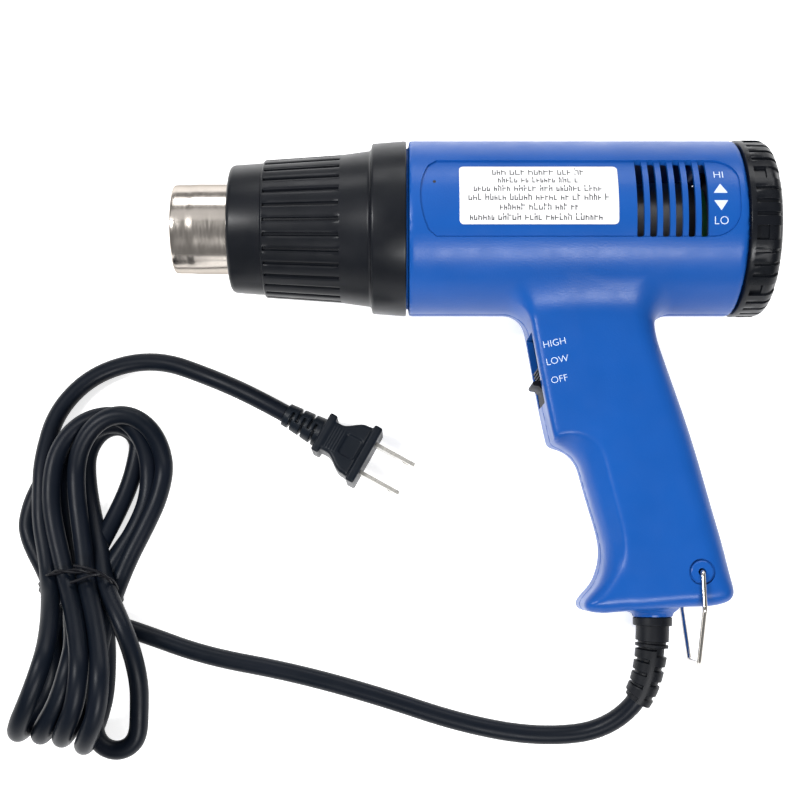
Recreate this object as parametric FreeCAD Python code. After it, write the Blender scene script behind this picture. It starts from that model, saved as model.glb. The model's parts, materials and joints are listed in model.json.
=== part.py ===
"""Heat gun lying on its side on a floor, with its mains lead tied in a hank.

Two frames are used. The gun is modelled in its own frame: x runs along the barrel towards the rear,
with x = 0 at the front of the blue housing, -y runs down the handle, z is across, and the origin of
y and z is the barrel's axis. The finished gun is then rolled by ROLL about the barrel until the foot
of the handle comes down near the floor, and set on the floor (the row frame, +Z up). The lead,
the hank and the plug are modelled in the row frame. All sizes are in millimetres.
"""
import FreeCAD
import Part
import math
import os

V = FreeCAD.Vector
X_AXIS = V(1, 0, 0)
Y_AXIS = V(0, 1, 0)
Z_AXIS = V(0, 0, 1)

# ---- Driving dimensions ------------------------------------------------------------------------
BARREL_R = 34.0
BARREL_LENGTH = 124.9
WALL = 2.5
FIT_GAP = 0.05          # radial clearance of a running fit

TIP_X = -91.0           # front end of the nozzle
TUBE_R = 17.5           # the 35 mm nozzle that accessories slide on
TUBE_HIDDEN_R = 17.2    # the same tube inside the shield
TUBE_WALL = 0.8
TIP_R = 16.9
TIP_LENGTH = 7.5
SHIELD_X = -68.8        # front end of the heat shield

DIAL_X0 = 125.6
DIAL_X1 = 138.3
DIAL_R = 34.3
DIAL_EDGE_R = 4.5

HANDLE_HALF = 18.0      # half of the handle's thickness
HANDLE_CORNER = 10.5    # radius of the handle's long edges
GLAND_X = 92.0
GLAND_Y = -149.9
GLAND_R = 8.7

PIVOT = V(107.4, -133.0, 0)
WIRE_R = 0.9
BAIL_LEG_Z = 19.35      # half the span of the bail at its pivot
BAIL_WIDE_Z = 20.8
BAIL_BAR_Z = 8.5
BAIL_KINK = 13.6        # distance from the pivot to the widest point
BAIL_REACH = 33.6       # distance from the pivot to the bar

MOTOR_R = 17.9
SHAFT_R = 1.6

CORD_R = 3.6
BOOT_CORE_R = 4.9

ROLL = 4.8              # degrees
AXIS_Z = DIAL_R         # the dial touches the floor
X_MIDDLE = (TIP_X + DIAL_X1) / 2
BAIL_LOW = (PIVOT.y - BAIL_REACH - WIRE_R) * math.cos(math.radians(ROLL))
BAIL_LOW -= (BAIL_BAR_Z + 2 * WIRE_R) * math.sin(math.radians(ROLL))
AXIS_Y = -(BAIL_LOW + DIAL_R) / 2
GUN_PLACE = FreeCAD.Placement(V(-X_MIDDLE, AXIS_Y, AXIS_Z), FreeCAD.Rotation(X_AXIS, ROLL))

nodes = {}


# ---- Helpers -----------------------------------------------------------------------------------
def turned(profile):
    """A solid turned about the barrel axis from a closed profile of (x, radius) points."""
    points = [V(x, r, 0) for x, r in profile]
    points.append(points[0])
    return Part.Face(Part.makePolygon(points)).revolve(V(0, 0, 0), X_AXIS, 360)


def rod(start, end, radius):
    """A round bar between two points."""
    line = end - start
    return Part.makeCylinder(radius, line.Length, start, line)


def tube(start, end, outer, inner):
    return rod(start, end, outer).cut(rod(start, end, inner))


def ring(x0, x1, outer, inner):
    """A ring about the barrel axis."""
    return tube(V(x0, 0, 0), V(x1, 0, 0), outer, inner)


def disc(x0, x1, radius):
    return rod(V(x0, 0, 0), V(x1, 0, 0), radius)


def block(x0, x1, y0, y1, z0, z1):
    return Part.makeBox(x1 - x0, y1 - y0, z1 - z0, V(x0, y0, z0))


def fused(shapes):
    result = shapes[0]
    if len(shapes) > 1:
        result = result.fuse(shapes[1:])
    return result.removeSplitter()


def group(shapes):
    """Several separate solids in one node."""
    return Part.makeCompound(shapes)


def mirrored(shape):
    """The same shape on the other side of the gun's middle plane."""
    return shape.mirror(V(0, 0, 0), Z_AXIS)


def turned_about_axis(shape, angle):
    copy = shape.copy()
    copy.rotate(V(0, 0, 0), X_AXIS, angle)
    return copy


def add(name, shape, on_gun=True):
    """Put a finished node in the row frame and keep it for export."""
    placed = shape.copy()
    if on_gun:
        placed.Placement = GUN_PLACE.multiply(placed.Placement)
    nodes[name] = placed


def smooth_path(points):
    """Straight runs joined by tangent arcs, each arc as large as its two runs allow."""
    edges = []
    radii = []
    start = points[0]
    for before, corner, after in zip(points, points[1:], points[2:]):
        run_in = before - corner
        run_out = after - corner
        turn = math.pi - run_in.getAngle(run_out)
        reach = 0.45 * min(run_in.Length, run_out.Length)
        radius = reach / math.tan(turn / 2)
        radii.append(round(radius, 1))
        unit_in = V(run_in).normalize()
        unit_out = V(run_out).normalize()
        arc_start = corner + unit_in * reach
        arc_end = corner + unit_out * reach
        centre = corner + (unit_in + unit_out).normalize() * (radius / math.cos(turn / 2))
        middle = centre + (corner - centre).normalize() * radius
        edges.append(Part.LineSegment(start, arc_start).toShape())
        edges.append(Part.Arc(arc_start, middle, arc_end).toShape())
        start = arc_end
    edges.append(Part.LineSegment(start, points[-1]).toShape())
    return edges, radii


def swept(edges, radius):
    """A round solid along joined edges."""
    first = edges[0]
    direction = first.tangentAt(first.FirstParameter)
    circle = Part.Wire([Part.makeCircle(radius, first.valueAt(first.FirstParameter), direction)])
    return Part.Wire(edges).makePipeShell([circle], True, False)


def check_tube(name, shape, edges, radius, radii):
    length = sum(edge.Length for edge in edges)
    ratio = shape.Volume / (math.pi * radius ** 2 * length)
    print(name, "length", round(length, 1), "volume ratio", round(ratio, 4), "radii", radii)


def point_along(edges, distance):
    """The point and direction at a distance along joined edges."""
    for edge in edges:
        if distance <= edge.Length:
            at = edge.getParameterByLength(distance)
            return edge.valueAt(at), edge.tangentAt(at)
        distance -= edge.Length
    raise ValueError("the distance is past the end of the path")


# ---- Housing -----------------------------------------------------------------------------------
# Front and rear edge of the handle: (x, y) of the front edge, (x, y) of the rear edge. The first
# section lies inside the barrel.
HANDLE_SECTIONS = [
    ((40.0, -20.0), (98.0, -20.0)),
    ((37.5, -32.5), (99.5, -32.5)),
    ((42.5, -36.5), (96.5, -36.5)),
    ((46.4, -42.0), (93.8, -42.0)),
    ((51.1, -68.8), (102.0, -68.8)),
    ((54.6, -84.6), (106.8, -84.6)),
    ((61.5, -89.0), (108.0, -89.0)),
    ((65.4, -97.0), (110.2, -97.0)),
    ((70.6, -115.0), (114.8, -115.0)),
    ((72.5, -126.0), (117.6, -126.0)),
    ((71.4, -134.5), (119.4, -134.5)),
    ((66.4, -142.5), (119.2, -140.0)),
    ((66.0, -146.5), (117.4, -143.6)),
    ((68.6, -148.4), (113.6, -145.4)),
]
HANDLE_EDGE_RADII = [10.5] * 11 + [10.0, 9.0, 7.0]


def handle_section(front, rear, inset, corner):
    """A rounded rectangle across the handle, drawn in the plane through its two edges."""
    along = V(rear[0] - front[0], rear[1] - front[1], 0).normalize()
    start = V(front[0], front[1], 0) + along * inset
    end = V(rear[0], rear[1], 0) - along * inset
    half = HANDLE_HALF - inset
    radius = max(corner - inset, 1.0)
    diagonal = radius * math.sqrt(0.5)

    def corner_arc(base, x_sign, z_sign):
        centre = base + along * (x_sign * radius) + V(0, 0, z_sign * (half - radius))
        side = centre - along * (x_sign * radius)
        flat = centre + V(0, 0, z_sign * radius)
        middle = centre - along * (x_sign * diagonal) + V(0, 0, z_sign * diagonal)
        return side, middle, flat

    near_front = corner_arc(start, 1, 1)
    near_rear = corner_arc(end, -1, 1)
    far_rear = corner_arc(end, -1, -1)
    far_front = corner_arc(start, 1, -1)
    edges = [
        Part.Arc(*near_front).toShape(),
        Part.LineSegment(near_front[2], near_rear[2]).toShape(),
        Part.Arc(*reversed(near_rear)).toShape(),
        Part.LineSegment(near_rear[0], far_rear[0]).toShape(),
        Part.Arc(*far_rear).toShape(),
        Part.LineSegment(far_rear[2], far_front[2]).toShape(),
        Part.Arc(*reversed(far_front)).toShape(),
        Part.LineSegment(far_front[0], near_front[0]).toShape(),
    ]
    return Part.Wire(edges)


def handle_body(inset):
    """The handle as a ruled loft; inset shrinks it on every side but the top."""
    sections = list(zip(HANDLE_SECTIONS, HANDLE_EDGE_RADII))
    if inset:
        sections = sections[:-2]
    wires = [handle_section(front, rear, inset, corner) for (front, rear), corner in sections]
    return Part.makeLoft(wires, True, True)


PANEL_MIDDLE = 8.0      # degrees towards +y from the side of the gun
PANEL_HALF = 26.8
PANEL_X0 = 4.0
PANEL_X1 = 122.0
PANEL_DEPTH = 0.8
VENT_X0 = 83.9
VENT_PITCH = 4.72
VENT_WIDTH = 2.7
VENT_COUNT = 6
VENT_HALF = 25.4


def panel_sector(x0, x1, inner, outer, half_angle):
    """Part of a ring behind the side panel, on the near side."""
    profile = [(x0, inner), (x1, inner), (x1, outer), (x0, outer)]
    points = [V(x, 0, r) for x, r in profile]
    points.append(points[0])
    face = Part.Face(Part.makePolygon(points))
    sector = face.revolve(V(0, 0, 0), X_AXIS, 2 * half_angle)
    return turned_about_axis(sector, -PANEL_MIDDLE - half_angle)


SWITCH_TOP = V(47.9, -42.4, 0)
SWITCH_BOTTOM = V(51.8, -69.6, 0)
SWITCH_DIR = (SWITCH_TOP - SWITCH_BOTTOM).normalize()
SWITCH_OUT = V(-SWITCH_DIR.y, SWITCH_DIR.x, 0)
SWITCH_LENGTH = (SWITCH_TOP - SWITCH_BOTTOM).Length
SWITCH_WIDTH = 22.0
SWITCH_DEPTH = 1.6
SLIDER_LENGTH = 13.8
SLIDER_TRAVEL = 13.0
SLIDER_GAP = 0.3
STEM_HALF = 2.3
KNOB_HALF = 9.0


def switch_block(s0, s1, out0, out1, half_width):
    """A block along the front of the handle: s runs up from the bottom of the switch's recess, out
    runs forwards from the handle's front line."""
    base = SWITCH_BOTTOM + SWITCH_DIR * s0 + SWITCH_OUT * out0
    corners = [
        base,
        base + SWITCH_DIR * (s1 - s0),
        base + SWITCH_DIR * (s1 - s0) + SWITCH_OUT * (out1 - out0),
        base + SWITCH_OUT * (out1 - out0),
    ]
    corners = [corner - V(0, 0, half_width) for corner in corners]
    corners.append(corners[0])
    return Part.Face(Part.makePolygon(corners)).extrude(V(0, 0, 2 * half_width))


SCREWS = [(12.0, 26.0), (12.0, -26.0), (114.5, 26.0), (114.5, -26.0), (62.5, -80.5), (108.5, -119.5),
          (75.0, -138.5)]
BOSS_R = 3.6
SCREW_R = 1.5
SCREW_HEAD_R = 2.9
SCREW_HEAD_DEPTH = 2.4
SCREW_TIP_Z = 9.0


def side_z(x, y):
    """Half-width of the housing at a screw."""
    if abs(y) < BARREL_R - 5:
        return math.sqrt(BARREL_R ** 2 - y ** 2)
    return HANDLE_HALF


def housing_skin():
    """The hollow housing before it is split in two."""
    outer = fused([disc(0, BARREL_LENGTH, BARREL_R), handle_body(0)])
    gland = rod(V(GLAND_X, -141.0, 0), V(GLAND_X, GLAND_Y, 0), GLAND_R)
    outer = outer.fuse(gland)
    inner_barrel = disc(3.0, BARREL_LENGTH - 3.0, BARREL_R - WALL)
    inner = inner_barrel.fuse(handle_body(WALL))
    skin = outer.cut(inner)
    nose = ring(-10.0, 1.0, 31.0, 28.5)
    tail = ring(BARREL_LENGTH - 3.0, 130.0, 31.0, 28.5)
    tail_hole = disc(BARREL_LENGTH - 4.0, BARREL_LENGTH + 1.0, 28.5)
    nose_hole = disc(-1.0, 4.0, 18.6)
    skin = skin.fuse([nose, tail]).cut([tail_hole, nose_hole])
    wire_way = block(30.0, 110.0, -40.0, -22.0, -30.0, 30.0)
    fan_ribs = [ring(x, x + 1.5, BARREL_R - 2.0, DUCT_R + 0.1).cut(wire_way) for x in (32.0, 60.0)]
    backing = switch_block(-1.5, SWITCH_LENGTH + 1.5, -5.0, -1.9, SWITCH_WIDTH / 2 + 2.2)
    return skin.fuse(fan_ribs + [backing])


def housing_cuts():
    """Everything that is cut out of the whole housing."""
    cuts = []
    for side in (1, -1):
        panel = panel_sector(PANEL_X0, PANEL_X1, BARREL_R - PANEL_DEPTH, BARREL_R + 1, PANEL_HALF)
        cuts.append(panel if side > 0 else mirrored(panel))
        for number in range(VENT_COUNT):
            x0 = VENT_X0 + number * VENT_PITCH
            vent = panel_sector(x0, x0 + VENT_WIDTH, BARREL_R - WALL - 1, BARREL_R, VENT_HALF)
            cuts.append(vent if side > 0 else mirrored(vent))
        outside = V(PIVOT.x, PIVOT.y, side * (HANDLE_HALF + 1))
        cuts.append(rod(outside, V(PIVOT.x, PIVOT.y, side * (HANDLE_HALF - 0.8)), 4.7))
    cuts.append(switch_block(0, SWITCH_LENGTH, -SWITCH_DEPTH, 6.0, SWITCH_WIDTH / 2))
    stem_low = SLIDER_LENGTH / 2 - 3.2
    stem_high = stem_low + SLIDER_TRAVEL + 6.8
    cuts.append(switch_block(stem_low, stem_high, -8.0, 0, STEM_HALF + 0.3))
    cuts.append(rod(V(GLAND_X, -140.0, 0), V(GLAND_X, GLAND_Y - 1, 0), 6.0))
    return cuts


def shell(side):
    """One half of the housing: side is 1 for the near half and -1 for the far half."""
    half_space = block(-20, 150, -170, 50, 0, 60)
    if side < 0:
        half_space = mirrored(half_space)
    body = housing_skin().common(half_space)
    outer = fused([disc(0, BARREL_LENGTH, BARREL_R), handle_body(0)])
    posts = []
    bores = []
    for x, y in SCREWS:
        posts.append(rod(V(x, y, 0), V(x, y, side * 35), BOSS_R))
        wall_z = side_z(x, y)
        if side > 0:
            bores.append(rod(V(x, y, -1), V(x, y, SCREW_TIP_Z + 1), SCREW_R))
        else:
            bores.append(rod(V(x, y, 1), V(x, y, -35), SCREW_R + 0.25))
            seat = V(x, y, -wall_z + SCREW_HEAD_DEPTH + 1.2)
            bores.append(rod(seat, V(x, y, -35), SCREW_HEAD_R + 0.2))
    pivot_post = rod(V(PIVOT.x, PIVOT.y, side * 12.5), V(PIVOT.x, PIVOT.y, side * 17), 3.4)
    posts = [post.common(outer) for post in posts]
    body = body.fuse(posts + [pivot_post])
    pivot_bore = rod(V(PIVOT.x, PIVOT.y, side * 12), V(PIVOT.x, PIVOT.y, side * 35), WIRE_R + FIT_GAP)
    body = body.cut(housing_cuts() + bores + [pivot_bore])
    return body


def housing_screws():
    """The seven self-tapping screws, put in from the far side."""
    screws = []
    for x, y in SCREWS:
        seat = -side_z(x, y) + SCREW_HEAD_DEPTH + 1.2
        shank = rod(V(x, y, SCREW_TIP_Z), V(x, y, seat), SCREW_R - 0.02)
        head = rod(V(x, y, seat), V(x, y, seat - SCREW_HEAD_DEPTH), SCREW_HEAD_R)
        floor = V(x, y, seat - SCREW_HEAD_DEPTH)
        cross = [Part.makeBox(3.4, 0.8, 1.3, floor - V(1.7, 0.4, 0)),
                 Part.makeBox(0.8, 3.4, 1.3, floor - V(0.4, 1.7, 0))]
        screws.append(shank.fuse(head).cut(cross))
    return group(screws)


# ---- Nozzle, shield and heater -----------------------------------------------------------------
def nozzle_tube():
    step = TIP_X + TIP_LENGTH
    inner = TUBE_R - TUBE_WALL - 0.3
    profile = [
        (TIP_X + 1.2, inner - 1.0), (TIP_X + 0.3, inner - 0.6), (TIP_X, inner - 0.2),
        (TIP_X + 0.1, TIP_R - 1.2), (TIP_X + 0.9, TIP_R - 0.35), (TIP_X + 2.2, TIP_R),
        (step - 0.8, TIP_R + 0.1), (step - 0.3, TUBE_R - 0.4), (step, TUBE_R), (SHIELD_X, TUBE_R),
        (SHIELD_X, TUBE_HIDDEN_R), (3.4, TUBE_HIDDEN_R), (3.4, 27.0), (4.4, 27.0), (4.4, inner),
        (step + 1.0, inner), (step - 1.0, inner - 0.5),
    ]
    return turned(profile)


SHIELD_GROOVES = 30


def heat_shield():
    """The ribbed black shield with its collar, one moulding."""
    profile = [
        (-68.8, 21.3), (-68.8, 23.4), (-68.4, 24.3), (-67.4, 24.9), (-55.9, 25.7), (-55.5, 26.8),
        (-25.6, 28.75), (-15.2, 30.25), (-14.3, 31.0), (-14.0, 32.4), (-13.4, 33.0), (-1.5, 34.0),
        (-0.9, 33.7), (-0.9, 31.25), (-12.0, 31.25), (-12.6, 28.4), (-54.0, 23.6), (-67.0, 22.6),
        (-67.0, 21.3),
    ]
    body = turned(profile)
    grooves = []
    for number in range(SHIELD_GROOVES):
        low = V(-53.8, 25.2, -0.45)
        groove = Part.Face(Part.makePolygon([
            low, V(-26.6, 27.6, -0.45), V(-26.6, 31.0, -0.45), V(-53.8, 31.0, -0.45), low,
        ])).extrude(V(0, 0, 0.9))
        grooves.append(turned_about_axis(groove, 360.0 / SHIELD_GROOVES * (number + 0.5)))
    return body.cut(grooves)


CORE_R = 15.2
CORE_X0 = -70.0
CORE_X1 = -4.0
OUTER_HOLES = 10
INNER_HOLES = 5
HOLE_R = 2.4


def hole_places():
    places = []
    for count, radius in ((OUTER_HOLES, 11.4), (INNER_HOLES, 5.7)):
        for number in range(count):
            angle = 2 * math.pi * (number + 0.5) / count
            places.append((radius * math.cos(angle), radius * math.sin(angle)))
    return places


def heater_core():
    core = disc(CORE_X0, CORE_X1, CORE_R)
    holes = [rod(V(CORE_X0 - 1, y, z), V(CORE_X1 + 1, y, z), HOLE_R) for y, z in hole_places()]
    holes.append(disc(CORE_X0 - 1, CORE_X1 + 1, 2.0))
    return core.cut(holes)


def heating_coils():
    coils = []
    for y, z in hole_places():
        coils.append(tube(V(CORE_X0 + 1.5, y, z), V(CORE_X1 + 1.5, y, z), HOLE_R - 0.5, HOLE_R - 1.0))
    return group(coils)


def heater_rod():
    """The rod that carries the ceramic core, with a nut at its front end."""
    nut = disc(CORE_X0 - 3.2, CORE_X0 - 0.1, 3.2).cut(disc(CORE_X0 - 4, CORE_X0, 1.85))
    return group([disc(CORE_X0 - 4.5, 4.6, 1.85), nut])


def element_holder():
    """Mica disc behind the tube's flange, with spokes that carry the heater's rod."""
    rim = ring(4.45, 6.4, 27.0, 18.5)
    arms = [block(4.6, 6.4, -19.0, 19.0, -1.8, 1.8), block(4.6, 6.4, -1.8, 1.8, -19.0, 19.0)]
    return fused([rim] + arms)


def thermal_fuse():
    return rod(V(8.8, 14.0, -5.0), V(8.8, 14.0, 5.0), 2.2)


def thermostat():
    body = rod(V(6.45, -12.0, 0), V(10.4, -12.0, 0), 6.0)
    neck = rod(V(10.4, -12.0, 0), V(13.4, -12.0, 0), 4.6)
    return fused([body, neck])


# ---- Fan and motor -----------------------------------------------------------------------------
DUCT_R = 29.4
DUCT_WALL = 1.6


def fan_housing():
    """Duct that narrows towards the heater, with the ring and vanes that hold the motor."""
    outer = [(7.0, 21.5), (17.0, 21.5), (26.0, DUCT_R), (66.2, DUCT_R)]
    inner = [(x, r - DUCT_WALL) for x, r in reversed(outer)]
    duct = turned(outer + inner)
    motor_ring = ring(61.4, 66.2, MOTOR_R + 1.9, MOTOR_R + 0.02)
    vanes = []
    for number in range(5):
        vane = block(62.0, 66.0, MOTOR_R + 1.0, DUCT_R - 1.0, -0.9, 0.9)
        vanes.append(turned_about_axis(vane, 72.0 * number + 36.0))
    return fused([duct, motor_ring] + vanes)


FAN_X0 = 42.0
FAN_X1 = 56.0
FAN_R = 26.9
FAN_HUB_R = 8.0
FAN_BLADES = 9


def fan_impeller():
    hub = disc(FAN_X0, FAN_X1, FAN_HUB_R).cut(disc(FAN_X0 - 1, FAN_X1 + 1, SHAFT_R))
    blades = []
    for number in range(FAN_BLADES):
        points = [V(FAN_X0 + 1.0, 0, -6.5), V(FAN_X0 + 2.2, 0, -6.5), V(FAN_X1 - 1.0, 0, 6.5),
                  V(FAN_X1 - 2.2, 0, 6.5)]
        points = [point + V(0, FAN_HUB_R - 3.0, 0) for point in points]
        points.append(points[0])
        blade = Part.Face(Part.makePolygon(points)).extrude(V(0, 40, 0))
        blades.append(turned_about_axis(blade, 360.0 * number / FAN_BLADES))
    trimmed = [blade.common(ring(FAN_X0, FAN_X1, FAN_R, FAN_HUB_R - 0.5)) for blade in blades]
    return fused([hub] + trimmed)


CAN_X0 = 60.0
CAN_X1 = 106.0


def motor_can():
    can = disc(CAN_X0, CAN_X1, MOTOR_R)
    inside = disc(CAN_X0 + 1.4, CAN_X1 + 1, MOTOR_R - 1.2)
    return can.cut([inside, disc(CAN_X0 - 1, CAN_X0 + 2, 3.5)])


def motor_magnets():
    """Two curved magnets against the inside of the can."""
    whole = ring(67.0, 97.0, MOTOR_R - 1.25, 13.6)
    gap = block(66.0, 98.0, -4.5, 4.5, -20.0, 20.0)
    return group(whole.cut(gap).Solids)


def motor_armature():
    """Laminated core with its slots, and the commutator."""
    core = disc(68.0, 96.0, 13.0)
    slots = []
    for number in range(5):
        slot = block(67.0, 97.0, 7.0, 14.0, -1.1, 1.1)
        slots.append(turned_about_axis(slot, 72.0 * number))
    commutator = disc(96.0, 102.5, 4.6)
    return core.cut(slots).fuse(commutator).cut(disc(67.0, 104.0, SHAFT_R))


def motor_bushes():
    front = ring(CAN_X0, CAN_X0 + 4.0, 3.5, SHAFT_R + FIT_GAP)
    rear = ring(CAN_X1 - 1.5, CAN_X1 + 3.0, 3.5, SHAFT_R + FIT_GAP)
    return group([front, rear])


def motor_end_bell():
    bell = disc(CAN_X1, CAN_X1 + 3.0, MOTOR_R)
    spigot = ring(CAN_X1 - 1.5, CAN_X1 + 0.5, MOTOR_R - 1.25, MOTOR_R - 3.5)
    boss = ring(CAN_X1 - 1.5, CAN_X1, 6.0, 3.0)
    return fused([bell, spigot, boss]).cut(disc(CAN_X1 - 2, CAN_X1 + 4, 3.5))


def motor_brushes():
    brushes = []
    for side in (1, -1):
        y0, y1 = sorted((side * 5.0, side * 12.0))
        brushes.append(block(98.0, 101.5, y0, y1, -1.5, 1.5))
    return group(brushes)


def rectifier_board():
    board = disc(111.6, 113.2, 16.5)
    parts = [board]
    for y in (-7.5, -2.5, 2.5, 7.5):
        parts.append(block(113.2, 115.8, y - 1.3, y + 1.3, -3.0, 3.0))
    return fused(parts)


def rear_bulkhead():
    """Plate across the rear of the barrel that carries the potentiometer."""
    plate = disc(119.3, 121.6, BARREL_R - WALL - 0.3)
    gaps = [rod(V(118, y, 0), V(123, y, 0), 5.5) for y in (20.0, -20.0)]
    return plate.cut(gaps + [disc(118, 123, 3.9)])


def potentiometer_body():
    body = disc(121.6, 127.0, 8.2)
    neck = disc(127.0, 130.6, 3.8)
    stud = disc(119.3, 121.6, 3.8)
    return fused([body, neck, stud]).cut(disc(120.6, 131.0, 3.0 + FIT_GAP))


def potentiometer_shaft():
    shaft = disc(120.9, 135.6, 3.0)
    flat = block(131.6, 136.0, 1.9, 4.0, -4.0, 4.0)
    return shaft.cut(flat)


DIAL_GROUPS = 9
DIAL_TURN = 26.0        # degrees from +y to the middle of the first window
DIAL_GROOVE_X = 128.0   # the grooves start behind a smooth front band
DIAL_POCKET_X = 132.4
DIAL_NARROW_AT = (11.7, 20.0, 28.3)     # degrees from each wide groove


def temperature_dial():
    """Rear dial: a cup with a grooved rim, whose hub fits the potentiometer's shaft."""
    edge = DIAL_EDGE_R
    rim = []
    for step in range(6):
        angle = math.radians(90.0 * step / 5)
        rim.append((DIAL_X1 - edge + edge * math.sin(angle), DIAL_R - edge + edge * math.cos(angle)))
    profile = [(DIAL_X0, 31.5), (DIAL_X0, DIAL_R - 0.5), (DIAL_X0 + 0.5, DIAL_R)] + rim
    profile += [(DIAL_X1, 0), (135.6, 0), (135.6, 31.5)]
    cup = turned(profile)
    grooves = []
    for number in range(DIAL_GROUPS):
        base = DIAL_TURN + 360.0 * number / DIAL_GROUPS
        wide = block(DIAL_GROOVE_X, 150.0, 33.7, 36.0, -2.5, 2.5)
        window = block(DIAL_GROOVE_X, DIAL_POCKET_X, 32.6, 36.0, -2.5, 2.5)
        grooves.append(turned_about_axis(wide, base))
        grooves.append(turned_about_axis(window, base))
        for offset in DIAL_NARROW_AT:
            narrow = block(DIAL_GROOVE_X, 150.0, 33.6, 36.0, -0.55, 0.55)
            grooves.append(turned_about_axis(narrow, base + offset))
    hub = ring(131.2, 136.0, 6.2, 3.0)
    hub_flat = block(131.6, 135.6, 1.9, 3.2, -2.6, 2.6)
    return cup.cut(grooves).fuse([hub, hub_flat])


# ---- Handle ------------------------------------------------------------------------------------
def switch_slider():
    """Thumb slider at its lowest position, off."""
    low = SLIDER_GAP
    high = SLIDER_GAP + SLIDER_LENGTH
    middle = (low + high) / 2
    plate = switch_block(low, high, -SWITCH_DEPTH + 0.15, 0.1, SWITCH_WIDTH / 2 - 0.25)
    knob = switch_block(middle - 4.6, middle + 0.4, 0, 2.4, KNOB_HALF)
    rungs = [switch_block(middle + s, middle + s + 0.9, 0, 0.6, KNOB_HALF) for s in (1.6, 3.4, 5.2)]
    stem = switch_block(middle - 2.6, middle + 2.6, -9.0, -1.0, STEM_HALF)
    return fused([plate, knob, stem] + rungs)


def power_switch():
    """The switch behind the slider, with a slot for the slider's stem."""
    body = switch_block(-3.0, SWITCH_LENGTH + 3.0, -17.5, -6.4, 6.5)
    slot = switch_block(2.0, SWITCH_LENGTH - 1.0, -10.0, -6.0, STEM_HALF + 0.5)
    tabs = [switch_block(s, s + 3.0, -21.5, -17.5, 0.4) for s in (1.0, 12.0, 23.0)]
    return fused([body.cut(slot)] + tabs)


BOARD_TILT = 13.0


def on_board(shape):
    """Place a shape drawn about the control board's centre into the handle."""
    copy = shape.copy()
    copy.rotate(V(0, 0, 0), Z_AXIS, BOARD_TILT)
    copy.translate(V(88.5, -83.0, 0))
    return copy


def control_board():
    return on_board(block(-13.0, 13.0, -24.0, 24.0, -8.0, -6.4))


def triac_heatsink():
    base = block(-11.0, -8.5, -20.0, 4.0, -6.4, 8.0)
    fins = [block(-8.5, -3.0, y, y + 1.5, -6.4, 8.0) for y in (-20.0, -15.5, -11.0, -6.5, -2.0, 2.5)]
    return on_board(fused([base] + fins))


def triac():
    return on_board(block(-2.0, 2.4, -18.0, -8.0, -6.4, 6.0))


def suppression_capacitor():
    return on_board(block(4.5, 11.5, -18.0, 0.0, -6.4, 5.0))


def board_resistors():
    places = [(-9.0, 9.0), (-4.0, 9.0), (1.0, 9.0), (6.0, 9.0)]
    parts = []
    for x, y in places:
        parts.append(on_board(rod(V(x, y, -5.0), V(x, y + 8.0, -5.0), 1.4)))
    return group(parts)


CLAMP_Y = -133.5


def cord_clamp():
    """Bar that presses the lead's sheath against a saddle in the far shell."""
    bar = block(GLAND_X - 11.0, GLAND_X + 10.0, CLAMP_Y - 3.0, CLAMP_Y + 3.0, 3.65, 6.4)
    holes = [rod(V(GLAND_X + dx, CLAMP_Y, 3), V(GLAND_X + dx, CLAMP_Y, 7), 1.5) for dx in (-7.5, 7.0)]
    return bar.cut(holes)


def clamp_saddle():
    """Two posts and a bed under the clamp."""
    bed = block(GLAND_X - 11.0, GLAND_X + 10.0, CLAMP_Y - 3.0, CLAMP_Y + 3.0, -16.5, -3.65)
    posts = [rod(V(GLAND_X + dx, CLAMP_Y, -4), V(GLAND_X + dx, CLAMP_Y, 3.6), 2.6)
             for dx in (-7.5, 7.0)]
    holes = [rod(V(GLAND_X + dx, CLAMP_Y, -9), V(GLAND_X + dx, CLAMP_Y, 4), 1.3) for dx in (-7.5, 7.0)]
    return fused([bed] + posts).cut(holes)


def clamp_screws():
    screws = []
    for dx in (-7.5, 7.0):
        x = GLAND_X + dx
        shank = rod(V(x, CLAMP_Y, -8), V(x, CLAMP_Y, 6.4), 1.28)
        head = rod(V(x, CLAMP_Y, 6.4), V(x, CLAMP_Y, 8.4), 2.5)
        screws.append(shank.fuse(head))
    return group(screws)


def lead_sheath():
    """The end of the lead's sheath inside the handle, and its two wires up to the switch."""
    sheath = rod(V(GLAND_X, -146.0, 0), V(GLAND_X, -126.0, 0), CORD_R - 0.02)
    live, _ = smooth_path([V(GLAND_X + 1.6, -126.0, 0), V(88.0, -113.0, 8.0), V(80.0, -99.0, 12.0),
                           V(73.0, -84.0, 10.0), V(71.0, -72.0, 1.0)])
    neutral, _ = smooth_path([V(GLAND_X - 1.6, -126.0, 0), V(81.0, -114.0, -2.0),
                              V(74.0, -102.0, -2.5), V(70.0, -89.0, -2.0), V(68.0, -76.5, 0)])
    return group([sheath, swept(live, 1.1), swept(neutral, 1.1)])


def heater_wires():
    """Wires from the control board to the heater, along the duct."""
    wires = []
    for side in (1, -1):
        edges, _ = smooth_path([V(84.0, -58.0, side * 4.0), V(78.0, -45.0, side * 5.0),
                                V(68.0, -34.0, side * 8.0), V(50.0, -28.85, side * 9.8),
                                V(22.5, -28.85, side * 9.8), V(18.5, -23.0, side * 15.0),
                                V(12.0, -20.0, side * 16.6), V(7.4, -18.0, side * 17.0)])
        wires.append(swept(edges, 0.85))
    return group(wires)


def bail_points(side):
    """Half of the bail from its end inside the handle to its bar."""
    return [
        V(PIVOT.x, PIVOT.y, side * 13.5),
        V(PIVOT.x, PIVOT.y, side * BAIL_LEG_Z),
        V(PIVOT.x, PIVOT.y - BAIL_KINK, side * BAIL_WIDE_Z),
        V(PIVOT.x, PIVOT.y - BAIL_REACH, side * BAIL_BAR_Z),
    ]


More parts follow.
